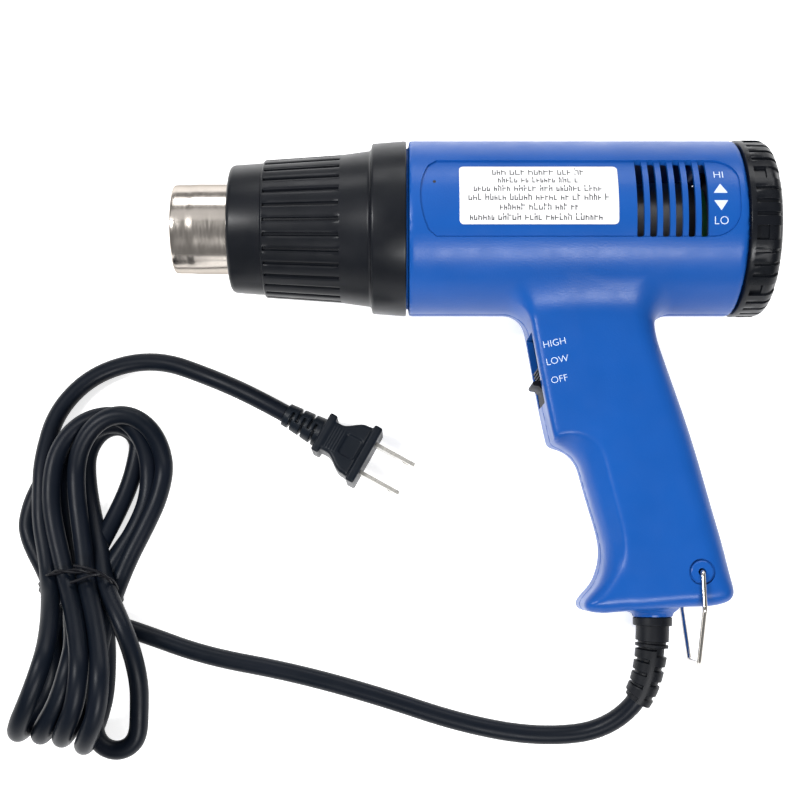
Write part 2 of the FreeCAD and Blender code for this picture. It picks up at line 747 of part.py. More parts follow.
def hang_bail():
    """Wire bail: its two ends turn in the handle's holes."""
    points = bail_points(1) + list(reversed(bail_points(-1)))
    corner_radii = [1.5, 3.0, 2.2, 2.2, 3.0, 1.5]
    edges = []
    start = points[0]
    for (before, corner, after), radius in zip(zip(points, points[1:], points[2:]), corner_radii):
        unit_in = (before - corner).normalize()
        unit_out = (after - corner).normalize()
        turn = math.pi - unit_in.getAngle(unit_out)
        reach = radius * math.tan(turn / 2)
        centre = corner + (unit_in + unit_out).normalize() * (radius / math.cos(turn / 2))
        middle = centre + (corner - centre).normalize() * radius
        arc_start = corner + unit_in * reach
        arc_end = corner + unit_out * reach
        edges.append(Part.LineSegment(start, arc_start).toShape())
        edges.append(Part.Arc(arc_start, middle, arc_end).toShape())
        start = arc_end
    edges.append(Part.LineSegment(start, points[-1]).toShape())
    return swept(edges, WIRE_R)


LABEL_X0 = 18.3
LABEL_X1 = 76.8
LABEL_HALF = 19.4       # degrees
LABEL_MIDDLE = 10.5


def rating_label():
    label = panel_sector(LABEL_X0, LABEL_X1, BARREL_R - PANEL_DEPTH, BARREL_R - PANEL_DEPTH + 0.3,
                         LABEL_HALF)
    return turned_about_axis(label, PANEL_MIDDLE - LABEL_MIDDLE)


# ---- Lead, hank and plug (row frame) -----------------------------------------------------------
GLAND = GUN_PLACE.multVec(V(GLAND_X, GLAND_Y, 0))
DOWN_HANDLE = GUN_PLACE.Rotation.multVec(V(0, -1, 0))
FLOOR = CORD_R

LEAD_ROUTE = [
    GLAND,
    GLAND + DOWN_HANDLE * 24.0,
    V(52.5, -124.5, 9.0),
    V(26.0, -127.3, FLOOR + 0.2),
    V(-4.0, -122.0, FLOOR),
    V(-36.0, -111.5, FLOOR),
    V(-70.0, -102.5, FLOOR),
    V(-102.0, -96.8, FLOOR),
    V(-127.0, -88.0, FLOOR),
]
PLUG_ENTRY = V(-71.8, -2.2, 9.0)
PLUG_DIR = V(0.875, -0.485, 0).normalize()
TAIL_ROUTE = [
    PLUG_ENTRY,
    PLUG_ENTRY - PLUG_DIR * 15.0,
    V(-101.5, 13.4, 4.4),
    V(-126.0, 22.6, FLOOR),
    V(-150.0, 16.8, FLOOR + 0.2),
    V(-165.2, 1.5, FLOOR + 1.2),
    V(-170.8, -20.0, 8.0),
    V(-170.8, -34.0, 10.8),
]
BOOT_RIBS = 5
BOOT_RIB_PITCH = 4.4


def boot_path():
    """The part of the lead's route that the boot covers, to the middle of its second run."""
    edges, _ = smooth_path(LEAD_ROUTE)
    end = (LEAD_ROUTE[1] + LEAD_ROUTE[2]) * 0.5
    last = Part.LineSegment(edges[2].valueAt(edges[2].FirstParameter), end).toShape()
    return edges[:2] + [last], end


def cord_boot():
    """Rubber strain relief: a collar and a neck in the gland, then a ribbed sleeve."""
    edges, _ = boot_path()
    sleeve = swept(edges, BOOT_CORE_R)
    collar = rod(GLAND, GLAND + DOWN_HANDLE * 3.3, 7.35)
    body = rod(GLAND, GLAND + DOWN_HANDLE * 9.9, 6.2)
    neck = rod(GLAND - DOWN_HANDLE * 9.5, GLAND, 5.95)
    flange = rod(GLAND - DOWN_HANDLE * 11.3, GLAND - DOWN_HANDLE * 9.5, 7.6)
    rings = []
    for number in range(BOOT_RIBS):
        middle, direction = point_along(edges, 13.2 + BOOT_RIB_PITCH * number)
        radius = 6.1 - 0.14 * number
        rings.append(Part.makeCylinder(radius, 2.4, middle - direction * 1.2, direction))
    solid = fused([sleeve, collar, body, neck, flange] + rings)
    bore = rod(GLAND - DOWN_HANDLE * 12.0, GLAND - DOWN_HANDLE * 1.0, CORD_R)
    return solid.cut(bore)


def cord_lead():
    edges, radii = smooth_path(LEAD_ROUTE)
    _, boot_end = boot_path()
    third = edges[2]
    first = Part.LineSegment(boot_end, third.valueAt(third.LastParameter)).toShape()
    kept = [first] + edges[3:]
    solid = swept(kept, CORD_R)
    check_tube("cord_lead", solid, kept, CORD_R, radii)
    return solid


def cord_tail():
    edges, radii = smooth_path(TAIL_ROUTE)
    solid = swept(edges, CORD_R)
    check_tube("cord_tail", solid, edges, CORD_R, radii)
    return solid


HANK_TOP = [(-180.5, -47.0), (-175.4, -34.0), (-166.1, -34.0), (-166.0, -19.0), (-157.0, -2.0),
            (-146.0, 4.5), (-132.0, 4.5), (-119.0, -6.0), (-115.0, -23.0), (-117.5, -42.0),
            (-131.0, -62.0), (-170.0, -62.0)]
HANK_WAIST = [(-167.4, -60.0), (-133.2, -60.0), (-133.2, -82.0), (-167.4, -82.0)]
HANK_BOTTOM = [(-126.0, -80.0), (-125.2, -82.8), (-128.8, -93.2), (-119.5, -108.0),
               (-119.0, -122.0), (-124.0, -131.0), (-133.0, -135.5), (-158.0, -133.0),
               (-174.0, -128.0), (-176.0, -118.0), (-169.0, -80.0)]
TOP_HEIGHT = 22.6
WAIST_HEIGHT = 21.4
BOTTOM_HEIGHT = 42.0


def slab(outline, height):
    points = [V(x, y, 0) for x, y in outline]
    points.append(points[0])
    return Part.Face(Part.makePolygon(points)).extrude(V(0, 0, height))


def cord_hank():
    """The outer shape of the tied hank: stacked loops, the tied waist and the lower loops."""
    parts = [(HANK_TOP, TOP_HEIGHT), (HANK_WAIST, WAIST_HEIGHT), (HANK_BOTTOM, BOTTOM_HEIGHT)]
    return fused([slab(outline, height) for outline, height in parts])


TIE_Y = -70.0
TIE_R = 1.0
TIE_X0 = -168.6         # outer faces of the tie's band
TIE_X1 = -132.0


def twist_tie():
    """Wire tie over the waist, down to the floor on both sides, with its twisted ends on top."""
    top = WAIST_HEIGHT + 0.1
    band = block(TIE_X0, TIE_X1, TIE_Y - TIE_R, TIE_Y + TIE_R, 0.2, top + TIE_R)
    hole = block(TIE_X0 + TIE_R, TIE_X1 - TIE_R, TIE_Y - 2 * TIE_R, TIE_Y + 2 * TIE_R, -1.0, top)
    knot = V(-150.0, TIE_Y, top + TIE_R)
    ends = [rod(knot, knot + V(-10.5, 3.4, 0.4), TIE_R), rod(knot, knot + V(9.5, 3.6, 0.4), TIE_R)]
    return fused([band.cut(hole)] + ends)


def along_plug(distance, across=0.0, up=0.0):
    side = V(-PLUG_DIR.y, PLUG_DIR.x, 0)
    return PLUG_ENTRY + PLUG_DIR * distance + side * across + V(0, 0, up)


def plug_slab(s0, s1, half_width0, half_width1, half_height):
    """A tapered block along the plug's axis."""
    points = [along_plug(s0, half_width0), along_plug(s1, half_width1), along_plug(s1, -half_width1),
              along_plug(s0, -half_width0)]
    points = [point - V(0, 0, half_height) for point in points]
    points.append(points[0])
    return Part.Face(Part.makePolygon(points)).extrude(V(0, 0, 2 * half_height))


RELIEF_LENGTH = 16.0
PLUG_LENGTH = 37.0
BLADE_LENGTH = 17.3
BLADE_SPACING = 12.7


def plug_body():
    relief = Part.makeCone(4.5, 5.8, RELIEF_LENGTH, PLUG_ENTRY, PLUG_DIR)
    rear = plug_slab(RELIEF_LENGTH, RELIEF_LENGTH + 3.0, 8.3, 8.4, 7.0)
    waist = plug_slab(RELIEF_LENGTH + 3.0, PLUG_LENGTH - 3.4, 6.4, 10.4, 6.6)
    front = plug_slab(PLUG_LENGTH - 3.4, PLUG_LENGTH, 12.3, 12.3, 8.4)
    return fused([relief, rear, waist, front])


def plug_blades():
    blades = []
    for side in (1, -1):
        middle = side * BLADE_SPACING / 2
        corners = [along_plug(PLUG_LENGTH, middle - 0.75), along_plug(PLUG_LENGTH + BLADE_LENGTH,
                   middle - 0.75), along_plug(PLUG_LENGTH + BLADE_LENGTH, middle + 0.75),
                   along_plug(PLUG_LENGTH, middle + 0.75)]
        corners = [corner - V(0, 0, 3.17) for corner in corners]
        corners.append(corners[0])
        blade = Part.Face(Part.makePolygon(corners)).extrude(V(0, 0, 6.35))
        hole_at = along_plug(PLUG_LENGTH + BLADE_LENGTH - 3.8, middle - 3.0)
        across = V(-PLUG_DIR.y, PLUG_DIR.x, 0)
        blades.append(blade.cut(Part.makeCylinder(1.5, 6.0, hole_at, across)))
    return group(blades)


# ---- Build -------------------------------------------------------------------------------------
def build():
    add("housing_near", shell(1))
    add("housing_far", shell(-1).fuse(clamp_saddle()))
    add("housing_screws", housing_screws())
    add("nozzle_tube", nozzle_tube())
    add("heat_shield", heat_shield())
    add("mica_tube", ring(-74.0, 0.0, TUBE_R - TUBE_WALL - 0.35, CORE_R + 0.05))
    add("flange_washer", ring(3.02, 3.38, 27.0, 18.7))
    add("heater_core", heater_core())
    add("heating_coils", heating_coils())
    add("heater_rod", heater_rod())
    add("element_holder", element_holder())
    add("thermal_fuse", thermal_fuse())
    add("thermostat", thermostat())
    add("fan_housing", fan_housing())
    add("fan_impeller", fan_impeller())
    add("motor_can", motor_can())
    add("motor_magnets", motor_magnets())
    add("motor_armature", motor_armature())
    add("motor_shaft", disc(FAN_X0 - 1.0, CAN_X1 + 2.6, SHAFT_R))
    add("motor_bushes", motor_bushes())
    add("motor_end_bell", motor_end_bell())
    add("motor_brushes", motor_brushes())
    add("rectifier_board", rectifier_board())
    add("rear_bulkhead", rear_bulkhead())
    add("potentiometer_body", potentiometer_body())
    add("potentiometer_shaft", potentiometer_shaft())
    add("temperature_dial", temperature_dial())
    add("rating_label", rating_label())
    add("switch_slider", switch_slider())
    add("power_switch", power_switch())
    add("control_board", control_board())
    add("triac_heatsink", triac_heatsink())
    add("triac", triac())
    add("suppression_capacitor", suppression_capacitor())
    add("board_resistors", board_resistors())
    add("cord_clamp", cord_clamp())
    add("clamp_screws", clamp_screws())
    add("lead_sheath", lead_sheath())
    add("heater_wires", heater_wires())
    add("hang_bail", hang_bail())
    add("cord_boot", cord_boot(), on_gun=False)
    add("cord_lead", cord_lead(), on_gun=False)
    add("cord_hank", cord_hank(), on_gun=False)
    add("cord_tail", cord_tail(), on_gun=False)
    add("twist_tie", twist_tie(), on_gun=False)
    add("plug_body", plug_body(), on_gun=False)
    add("plug_blades", plug_blades(), on_gun=False)


def export():
    os.makedirs("parts", exist_ok=True)
    for name, shape in nodes.items():
        if not shape.isValid() or shape.Volume <= 0:
            print("PROBLEM", name, "valid", shape.isValid(), "volume", round(shape.Volume, 2))
        shape.exportStep("parts/" + name + ".step")
    print(len(nodes), "nodes")


build()
export()
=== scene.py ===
"""Looks for the heat gun that lies on its side, with its lead tied in a hank.

The gun's own pieces are drawn in the gun's frame in millimetres: x runs along the barrel from the
front of the blue housing to the rear, -y runs down the handle, and z is across, towards the side
with the label. GUN turns that frame into the row frame in metres. The cord, the tie and the plug
are drawn in the row frame.
"""
import json
import math
import random
import bmesh
import bpy
import numpy as np
from mathutils import Matrix, Vector


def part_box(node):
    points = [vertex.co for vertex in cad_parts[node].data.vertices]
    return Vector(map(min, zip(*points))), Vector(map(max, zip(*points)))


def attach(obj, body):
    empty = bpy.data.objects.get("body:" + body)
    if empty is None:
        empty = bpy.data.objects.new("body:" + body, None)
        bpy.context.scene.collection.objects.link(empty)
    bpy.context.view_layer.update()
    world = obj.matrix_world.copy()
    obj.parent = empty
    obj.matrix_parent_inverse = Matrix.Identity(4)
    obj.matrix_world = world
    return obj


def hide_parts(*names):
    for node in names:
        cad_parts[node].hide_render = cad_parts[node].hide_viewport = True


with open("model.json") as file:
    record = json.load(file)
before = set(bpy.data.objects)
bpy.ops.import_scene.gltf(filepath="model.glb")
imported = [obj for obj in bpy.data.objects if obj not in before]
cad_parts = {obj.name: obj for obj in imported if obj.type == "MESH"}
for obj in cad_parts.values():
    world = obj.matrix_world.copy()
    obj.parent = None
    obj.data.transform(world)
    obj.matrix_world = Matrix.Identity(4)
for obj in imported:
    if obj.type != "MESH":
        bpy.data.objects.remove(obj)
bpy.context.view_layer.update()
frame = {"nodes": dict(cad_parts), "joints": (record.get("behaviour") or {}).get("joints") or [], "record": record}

# ---- Where the gun is ----------------------------------------------------------------------------
MM = 0.001
CAN_X0 = 60.0           # front of the motor's can in the gun's frame
can_low, can_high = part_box("motor_can")
AXIS_Y = (can_low.y + can_high.y) / 2
AXIS_Z = (can_low.z + can_high.z) / 2
GUN_X = can_low.x - CAN_X0 * MM
BAIL_AXIS = next(j["axis"] for j in frame["joints"] if j["name"] == "bail_swing")
ROLL = math.atan2(-BAIL_AXIS[1], BAIL_AXIS[2])
GUN = (Matrix.Translation((GUN_X, AXIS_Y, AXIS_Z)) @ Matrix.Rotation(ROLL, 4, "X")
       @ Matrix.Scale(MM, 4))
ROW = Matrix.Scale(MM, 4)


# ---- Materials -----------------------------------------------------------------------------------
class Paint:
    """Builds one procedural material."""

    def __init__(self, name):
        self.material = bpy.data.materials.new(name)
        self.material.use_nodes = True
        self.tree = self.material.node_tree
        self.shader = self.tree.nodes["Principled BSDF"]
        self.places = self.tree.nodes.new("ShaderNodeTexCoord").outputs["Object"]

    def set(self, **values):
        for name, value in values.items():
            socket = self.shader.inputs[name.replace("_", " ")]
            socket.default_value = (*value, 1.0) if isinstance(value, tuple) else value
        return self

    def noise(self, size_mm, detail=3.0, stretch=(1, 1, 1), roughness=0.55):
        """Noise whose features are about size_mm across."""
        mapping = self.tree.nodes.new("ShaderNodeMapping")
        mapping.inputs["Scale"].default_value = [s / (size_mm * MM) for s in stretch]
        self.tree.links.new(self.places, mapping.inputs["Vector"])
        noise = self.tree.nodes.new("ShaderNodeTexNoise")
        noise.inputs["Scale"].default_value = 1.0
        noise.inputs["Detail"].default_value = detail
        noise.inputs["Roughness"].default_value = roughness
        self.tree.links.new(mapping.outputs["Vector"], noise.inputs["Vector"])
        return noise.outputs["Fac"]

    def ramp(self, factor, low, high, low_at=0.3, high_at=0.7):
        """Two colours, or two values, mixed by a factor."""
        ramp = self.tree.nodes.new("ShaderNodeValToRGB")
        for element, at, value in zip(ramp.color_ramp.elements, (low_at, high_at), (low, high)):
            element.position = at
            element.color = (*value, 1.0) if isinstance(value, tuple) else (value, value, value, 1.0)
        self.tree.links.new(factor, ramp.inputs["Fac"])
        return ramp.outputs["Color"]

    def to(self, output, socket):
        self.tree.links.new(output, self.shader.inputs[socket])
        return self

    def bump(self, heights, strength, depth_mm):
        """Adds bump; called again, it adds to what is there."""
        bump = self.tree.nodes.new("ShaderNodeBump")
        bump.inputs["Strength"].default_value = strength
        bump.inputs["Distance"].default_value = depth_mm * MM
        self.tree.links.new(heights, bump.inputs["Height"])
        socket = self.shader.inputs["Normal"]
        if socket.is_linked:
            self.tree.links.new(socket.links[0].from_socket, bump.inputs["Normal"])
        self.tree.links.new(bump.outputs["Normal"], socket)
        return self


def moulded_plastic(name, colour, darker, roughness, grain_mm=0.35, grain=0.25, shine=0.18):
    """Moulded plastic: a fine spark-eroded grain, and colour and gloss that vary slowly."""
    paint = Paint(name)
    paint.set(Base_Color=colour, Roughness=roughness, Specular_IOR_Level=shine)
    slow = paint.noise(28.0, 2.0)
    paint.to(paint.ramp(slow, darker, colour), "Base Color")
    paint.to(paint.ramp(paint.noise(9.0, 4.0), roughness - 0.05, roughness + 0.06), "Roughness")
    paint.bump(paint.noise(grain_mm, 2.0), grain, 0.04)
    return paint.material


def metal(name, colour, roughness, grain_mm=0.5, stretch=(1, 1, 1), scratch=0.12, **extra):
    """Bare metal with a directional finish and slow staining."""
    paint = Paint(name)
    paint.set(Metallic=1.0, Base_Color=colour, Roughness=roughness, **extra)
    darker = tuple(c * 0.86 for c in colour)
    paint.to(paint.ramp(paint.noise(12.0, 4.0), darker, colour), "Base Color")
    fine = paint.noise(grain_mm, 3.0, stretch)
    paint.to(paint.ramp(fine, roughness * 0.8, roughness * 1.25), "Roughness")
    paint.bump(fine, scratch, 0.02)
    return paint.material


def mottled(name, colour, darker, roughness, size_mm=3.0, bump=0.2):
    """A mineral or board: two close colours in patches, with a slight relief."""
    paint = Paint(name)
    paint.set(Base_Color=colour, Roughness=roughness)
    patches = paint.noise(size_mm, 5.0)
    paint.to(paint.ramp(patches, darker, colour), "Base Color")
    paint.bump(patches, bump, 0.05)
    return paint.material


BLACK = (0.006, 0.007, 0.010)
DARKER_BLACK = (0.004, 0.005, 0.007)
FINISH = {
    "blue_housing": moulded_plastic("blue_plastic", (0.006, 0.077, 0.335), (0.005, 0.069, 0.305), 0.33,
                                    grain_mm=0.7, grain=1.0, shine=0.22),
    "zinc_screws": metal("zinc", (0.62, 0.60, 0.52), 0.34),
    "nozzle_steel": metal("nickelled_steel", (0.62, 0.57, 0.52), 0.20, 0.9, (1, 0.12, 0.12), 0.05,
                          Specular_Tint=(0.42, 0.40, 0.38)),
    "black_shield": moulded_plastic("shield_black", BLACK, DARKER_BLACK, 0.34, grain_mm=0.7, grain=0.22),
    "mica": mottled("mica_sheet", (0.42, 0.33, 0.20), (0.30, 0.22, 0.13), 0.38, 6.0),
    # Steel made darker than bare steel, so that the motor seen through the vents reads dark: painted shade inside
    # the housing.
    "steel": metal("steel_darkened_as_shade", (0.22, 0.22, 0.23), 0.45),
    "ceramic": mottled("ceramic_white", (0.74, 0.71, 0.64), (0.64, 0.60, 0.52), 0.75, 4.0),
    "heating_wire": metal("resistance_wire", (0.30, 0.27, 0.24), 0.40, 0.4, (0.1, 3, 3), 0.8),
    "inner_plastic": moulded_plastic("inner_black", (0.016, 0.017, 0.020), (0.012, 0.013, 0.016), 0.5),
    "fan_plastic": moulded_plastic("fan_nylon", (0.030, 0.032, 0.036), (0.024, 0.026, 0.03), 0.45),
    "ferrite": mottled("ferrite_grey", (0.05, 0.05, 0.052), (0.03, 0.03, 0.032), 0.6, 2.0),
    "bronze": metal("sintered_bronze", (0.60, 0.38, 0.18), 0.4, 0.3, (1, 1, 1), 0.3),
    "circuit_board": mottled("board_green", (0.010, 0.09, 0.035), (0.008, 0.06, 0.025), 0.4, 5.0, 0.1),
    "black_dial": moulded_plastic("dial_black", BLACK, DARKER_BLACK, 0.28),
    "label": moulded_plastic("label_foil", (0.74, 0.74, 0.75), (0.70, 0.70, 0.71), 0.34,
                             grain_mm=1.2, grain=0.12),
    "heatsink_aluminium": metal("drawn_aluminium", (0.70, 0.71, 0.72), 0.35, 0.4, (1, 8, 1), 0.3),
    "cord_rubber": moulded_plastic("cord_black", (0.004, 0.006, 0.011), (0.002, 0.004, 0.008), 0.40,
                                   grain_mm=0.9, grain=0.18, shine=0.13),
    "wire_insulation": moulded_plastic("wire_red", (0.40, 0.03, 0.025), (0.32, 0.02, 0.02), 0.4),
    "bail_steel": metal("bright_wire", (0.62, 0.59, 0.55), 0.20, 0.4, (3, 0.3, 3), 0.08),
    "boot_rubber": moulded_plastic("boot_black", BLACK, DARKER_BLACK, 0.44, grain_mm=0.5, grain=0.4),
    "tie_plastic": moulded_plastic("tie_black", (0.005, 0.006, 0.009), (0.004, 0.004, 0.006), 0.38),
    "plug_plastic": moulded_plastic("plug_black", (0.005, 0.008, 0.013), (0.003, 0.005, 0.009), 0.38,
                                    grain_mm=0.5, grain=0.3),
    "blade_metal": metal("blade_nickel", (0.80, 0.78, 0.73), 0.30, 0.5, (1, 3, 1), 0.1),
}
SLIDER_BLACK = moulded_plastic("slider_black", (0.006, 0.006, 0.008), (0.004, 0.004, 0.006), 0.45,
                               shine=0.04)
INK_GREY = moulded_plastic("print_grey", (0.035, 0.035, 0.04), (0.025, 0.025, 0.03), 0.5)
INK_WHITE = moulded_plastic("print_white", (0.62, 0.70, 0.84), (0.56, 0.65, 0.80), 0.45)


def finish_cad_nodes():
    """Gives every CAD node the finish of its slot."""
    for part in frame["record"]["subparts"]:
        node = frame["nodes"][part["node"]]
        for place in node.material_slots:
            place.material = FINISH[part["material_slot"]]


# ---- Camera, light and floor ---------------------------------------------------------------------
LENS_MM = 61.4
SENSOR_MM = 36.0
CAMERA_TILT = math.radians(12.0)
CAMERA_AT = (-0.02695, -0.1096, 0.5429)


def make_camera():
    camera = bpy.data.objects.new("camera", bpy.data.cameras.new("camera"))
    camera.data.lens = LENS_MM
    camera.data.sensor_width = SENSOR_MM
    camera.data.clip_start = 0.01
    camera.location = CAMERA_AT
    camera.rotation_euler = (CAMERA_TILT, 0, 0)
    bpy.context.scene.collection.objects.link(camera)
    bpy.context.scene.camera = camera


def area_light(name, at, size, power, aim=(-0.03, 0.0, 0.03)):
    light = bpy.data.objects.new(name, bpy.data.lights.new(name, "AREA"))
    light.data.shape = "RECTANGLE"
    light.data.size, light.data.size_y = size
    light.data.energy = power
    light.location = at
    light.rotation_euler = (Vector(aim) - Vector(at)).to_track_quat("-Z", "Y").to_euler()
    bpy.context.scene.collection.objects.link(light)


def make_light():
    world = bpy.data.worlds.new("studio")
    world.use_nodes = True
    world.node_tree.nodes["Background"].inputs["Color"].default_value = (1.0, 1.0, 1.0, 1.0)
    world.node_tree.nodes["Background"].inputs["Strength"].default_value = 0.22
    bpy.context.scene.world = world
    bpy.context.scene.view_settings.view_transform = "Standard"
    area_light("key", (0.12, -0.58, 0.62), (0.34, 0.12), 5.2, (0.04, 0.0, 0.03))
    area_light("side", (-0.52, 0.06, 0.70), (0.10, 0.30), 5.5, (0.02, 0.0, 0.03))
    area_light("back", (0.10, 0.75, 0.50), (1.0, 0.3), 5.2)
    area_light("ceiling", (-0.10, 0.42, 0.95), (1.0, 0.5), 0.9)


def make_floor():
    mesh = bpy.data.meshes.new("floor")
    half = 3.0
    mesh.from_pydata([(-half, -half, 0), (half, -half, 0), (half, half, 0), (-half, half, 0)], [],
                     [(0, 1, 2, 3)])
    floor = bpy.data.objects.new("floor", mesh)
    bpy.context.scene.collection.objects.link(floor)
    paint = Paint("floor_paper")
    paint.set(Base_Color=(0.80, 0.80, 0.80), Roughness=0.9, Emission_Strength=0.74)
    paint.to(paint.ramp(paint.noise(60.0, 2.0), (0.79, 0.79, 0.79), (0.81, 0.81, 0.81)), "Base Color")
    paint.set(Emission_Color=(1.0, 1.0, 1.0))
    mesh.materials.append(paint.material)


# ---- Mesh tools ----------------------------------------------------------------------------------
def mesh_of(name, points, faces):
    mesh = bpy.data.meshes.new(name)
    mesh.from_pydata([tuple(p) for p in points], [], [tuple(f) for f in faces])
    mesh.update()
    return mesh


def cleaned(mesh, distance=1e-4):
    """The same mesh with double points joined and all faces turned outwards."""
    work = bmesh.new()
    work.from_mesh(mesh)
    bmesh.ops.remove_doubles(work, verts=work.verts, dist=distance)
    bmesh.ops.recalc_face_normals(work, faces=work.faces)
    work.to_mesh(mesh)
    work.free()
    return mesh


def joined(name, meshes):
    """One mesh of several."""
    work = bmesh.new()
    for mesh in meshes:
        work.from_mesh(mesh)
    result = bpy.data.meshes.new(name)
    work.to_mesh(result)
    work.free()
    return result


def show(name, mesh, slot, body="root", nodes=(), place=GUN, crease=32.0, paint=None):
    """Turns a mesh into a piece of the model."""
    mesh.transform(place)
    mesh.materials.clear()
    mesh.materials.append(paint or FINISH[slot])
    mesh.shade_smooth()
    mesh.set_sharp_from_angle(angle=math.radians(crease))
    piece = bpy.data.objects.new(name, mesh)
    bpy.context.scene.collection.objects.link(piece)
    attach(piece, body)
    if nodes:
        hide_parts(*nodes)
    return piece


def carved(mesh, cutters):
    """The mesh after a clean cut by each cutter in turn."""
    scene = bpy.context.scene.collection
    for cutter in cutters:
        body = bpy.data.objects.new("carve_body", mesh)
        tool = bpy.data.objects.new("carve_tool", cutter)
        scene.objects.link(body)
        scene.objects.link(tool)
        cut = body.modifiers.new("cut", "BOOLEAN")
        cut.object = tool
        cut.operation = "DIFFERENCE"
        for solver in ("MANIFOLD", "EXACT"):
            cut.solver = solver
            bpy.context.view_layer.update()
            graph = bpy.context.evaluated_depsgraph_get()
            result = bpy.data.meshes.new_from_object(body.evaluated_get(graph))
            if len(result.polygons) not in (0, len(mesh.polygons)):
                break
        bpy.data.objects.remove(body)
        bpy.data.objects.remove(tool)
        mesh = result
    return mesh


def chaikin(points, rounds=3):
    """The points with their corners cut, over and over, so that they become a smooth curve."""
    points = [Vector(p) for p in points]
    for _ in range(rounds):
        cut = [points[0]]
        for a, b in zip(points, points[1:]):
            cut += [a * 0.75 + b * 0.25, a * 0.25 + b * 0.75]
        points = cut + [points[-1]]
    return points


def rounded(corners, radii, steps=6):
    """A closed flat outline with an arc of its own radius at each corner."""
    outline = []
    count = len(corners)
    for index, radius in enumerate(radii):
        corner = Vector(corners[index])
        before = (Vector(corners[index - 1]) - corner).normalized()
        after = (Vector(corners[(index + 1) % count]) - corner).normalized()
        if radius <= 0:
            outline.append(corner)
            continue
        half = before.angle(after) / 2
        centre = corner + (before + after).normalized() * radius / math.sin(half)
        start = corner + before * radius / math.tan(half)
        end = corner + after * radius / math.tan(half)
        for step in range(steps + 1):
            blend = (start - centre).lerp(end - centre, step / steps)
            outline.append(centre + blend.normalized() * radius)
    return outline


def flat_strips(outline, spacing):
    """A flat mesh that fills an outline, cut into strips along x so that it can be bent."""
    work = bmesh.new()
    work.faces.new([work.verts.new((p[0], p[1], 0)) for p in outline])
    high = max(p[1] for p in outline)
    at = min(p[1] for p in outline) + spacing
    while at < high - spacing * 0.3:
        bmesh.ops.bisect_plane(work, geom=work.verts[:] + work.edges[:] + work.faces[:],
                               plane_co=(0, at, 0), plane_no=(0, 1, 0))
        at += spacing
    return work


def curved_plate(name, outline, inner, outer, side=1, spacing=1.6):
    """A plate wrapped round the barrel, from an outline of (x, arc length at the barrel's surface)."""
    work = flat_strips(outline, spacing)
    bottom = list(work.faces)
    lifted = bmesh.ops.extrude_face_region(work, geom=bottom)
    raised = [item for item in lifted["geom"] if isinstance(item, bmesh.types.BMVert)]
    for vert in raised:
        vert.co.z = 1.0
    for vert in work.verts:
        angle = vert.co.y / BARREL_R
        radius = inner + (outer - inner) * vert.co.z
        vert.co = (vert.co.x, radius * math.sin(angle), side * radius * math.cos(angle))
    bmesh.ops.recalc_face_normals(work, faces=work.faces)
    mesh = bpy.data.meshes.new(name)
    work.to_mesh(mesh)
    work.free()
    return mesh


def turned(name, profile, steps=128, groove=None, angles=None, tilt=0.0):
    """A closed profile of (x, radius) or (x, radius, groove share) turned about the barrel's axis.

    groove(x, angle) is the depth that is taken off along the profile's outward direction.
    """
    if angles is None:
        angles = [2 * math.pi * n / steps for n in range(steps)]
    count = len(profile)
    points = []
    for angle in angles:
        for index, (x, r, *share) in enumerate(profile):
            depth = share[0] * groove(x, angle) if share and groove else 0.0
            if depth:
                before, after = profile[index - 1], profile[(index + 1) % count]
                along = Vector((after[0] - before[0], after[1] - before[1])).normalized()
                x, r = x + along.y * depth, r - along.x * depth
            turn = angle + tilt
            points.append((x, r * math.sin(turn), r * math.cos(turn)))
    faces = []
    for a in range(len(angles)):
        b = (a + 1) % len(angles)
        for i in range(count):
            j = (i + 1) % count
            faces.append((a * count + i, a * count + j, b * count + j, b * count + i))
    return cleaned(mesh_of(name, points, faces))


def frames_along(path):
    """Unit directions, and a pair of crosswise unit vectors carried along a path without twist."""
    result = []
    normal = None
    for index in range(len(path)):
        ahead = path[min(index + 1, len(path) - 1)]
        behind = path[max(index - 1, 0)]
        along = (ahead - behind).normalized()
        if normal is None:
            helper = Vector((0, 0, 1)) if abs(along.z) < 0.9 else Vector((1, 0, 0))
            normal = helper
        normal = (normal - along * normal.dot(along)).normalized()
        result.append((along, normal, along.cross(normal)))
    return result


def swept(name, path, radius, sides=16):
    """A tube along a path; radius is a number, or a function of (distance, angle)."""
    path = [Vector(p) for p in path]
    points, faces = [], []
    distance = 0.0
    for index, (place, (_, up, side)) in enumerate(zip(path, frames_along(path))):
        if index:
            distance += (place - path[index - 1]).length
        for n in range(sides):
            angle = 2 * math.pi * n / sides
            reach = radius(distance, angle) if callable(radius) else radius
            points.append(place + up * (reach * math.cos(angle)) + side * (reach * math.sin(angle)))
    for a in range(len(path) - 1):
        for n in range(sides):
            m = (n + 1) % sides
            faces.append((a * sides + n, a * sides + m, (a + 1) * sides + m, (a + 1) * sides + n))
    faces.append(tuple(range(sides)))
    faces.append(tuple(range((len(path) - 1) * sides, len(path) * sides)))
    return cleaned(mesh_of(name, points, faces))


BEVEL_SEGMENTS = 3


def bevelled_block(name, outline, low, high, axes, bevel=0.25):
    """An outline pushed out between two heights, with softened edges.

    axes is (origin, first axis, second axis, height axis).
    """
    origin, first, second, third = axes
    work = bmesh.new()
    base = [work.verts.new(origin + first * u + second * v + third * low) for u, v in outline]
    face = work.faces.new(base)
    lifted = bmesh.ops.extrude_face_region(work, geom=[face])
    for item in lifted["geom"]:
        if isinstance(item, bmesh.types.BMVert):
            item.co += third * (high - low)
    bmesh.ops.recalc_face_normals(work, faces=work.faces)
    if bevel:
        sharp = [e for e in work.edges if e.calc_face_angle(0) > 0.5]
        bmesh.ops.bevel(work, geom=sharp, offset=bevel, segments=BEVEL_SEGMENTS, profile=0.5,
                        affect="EDGES")
    mesh = bpy.data.meshes.new(name)
    work.to_mesh(mesh)
    work.free()
    return mesh


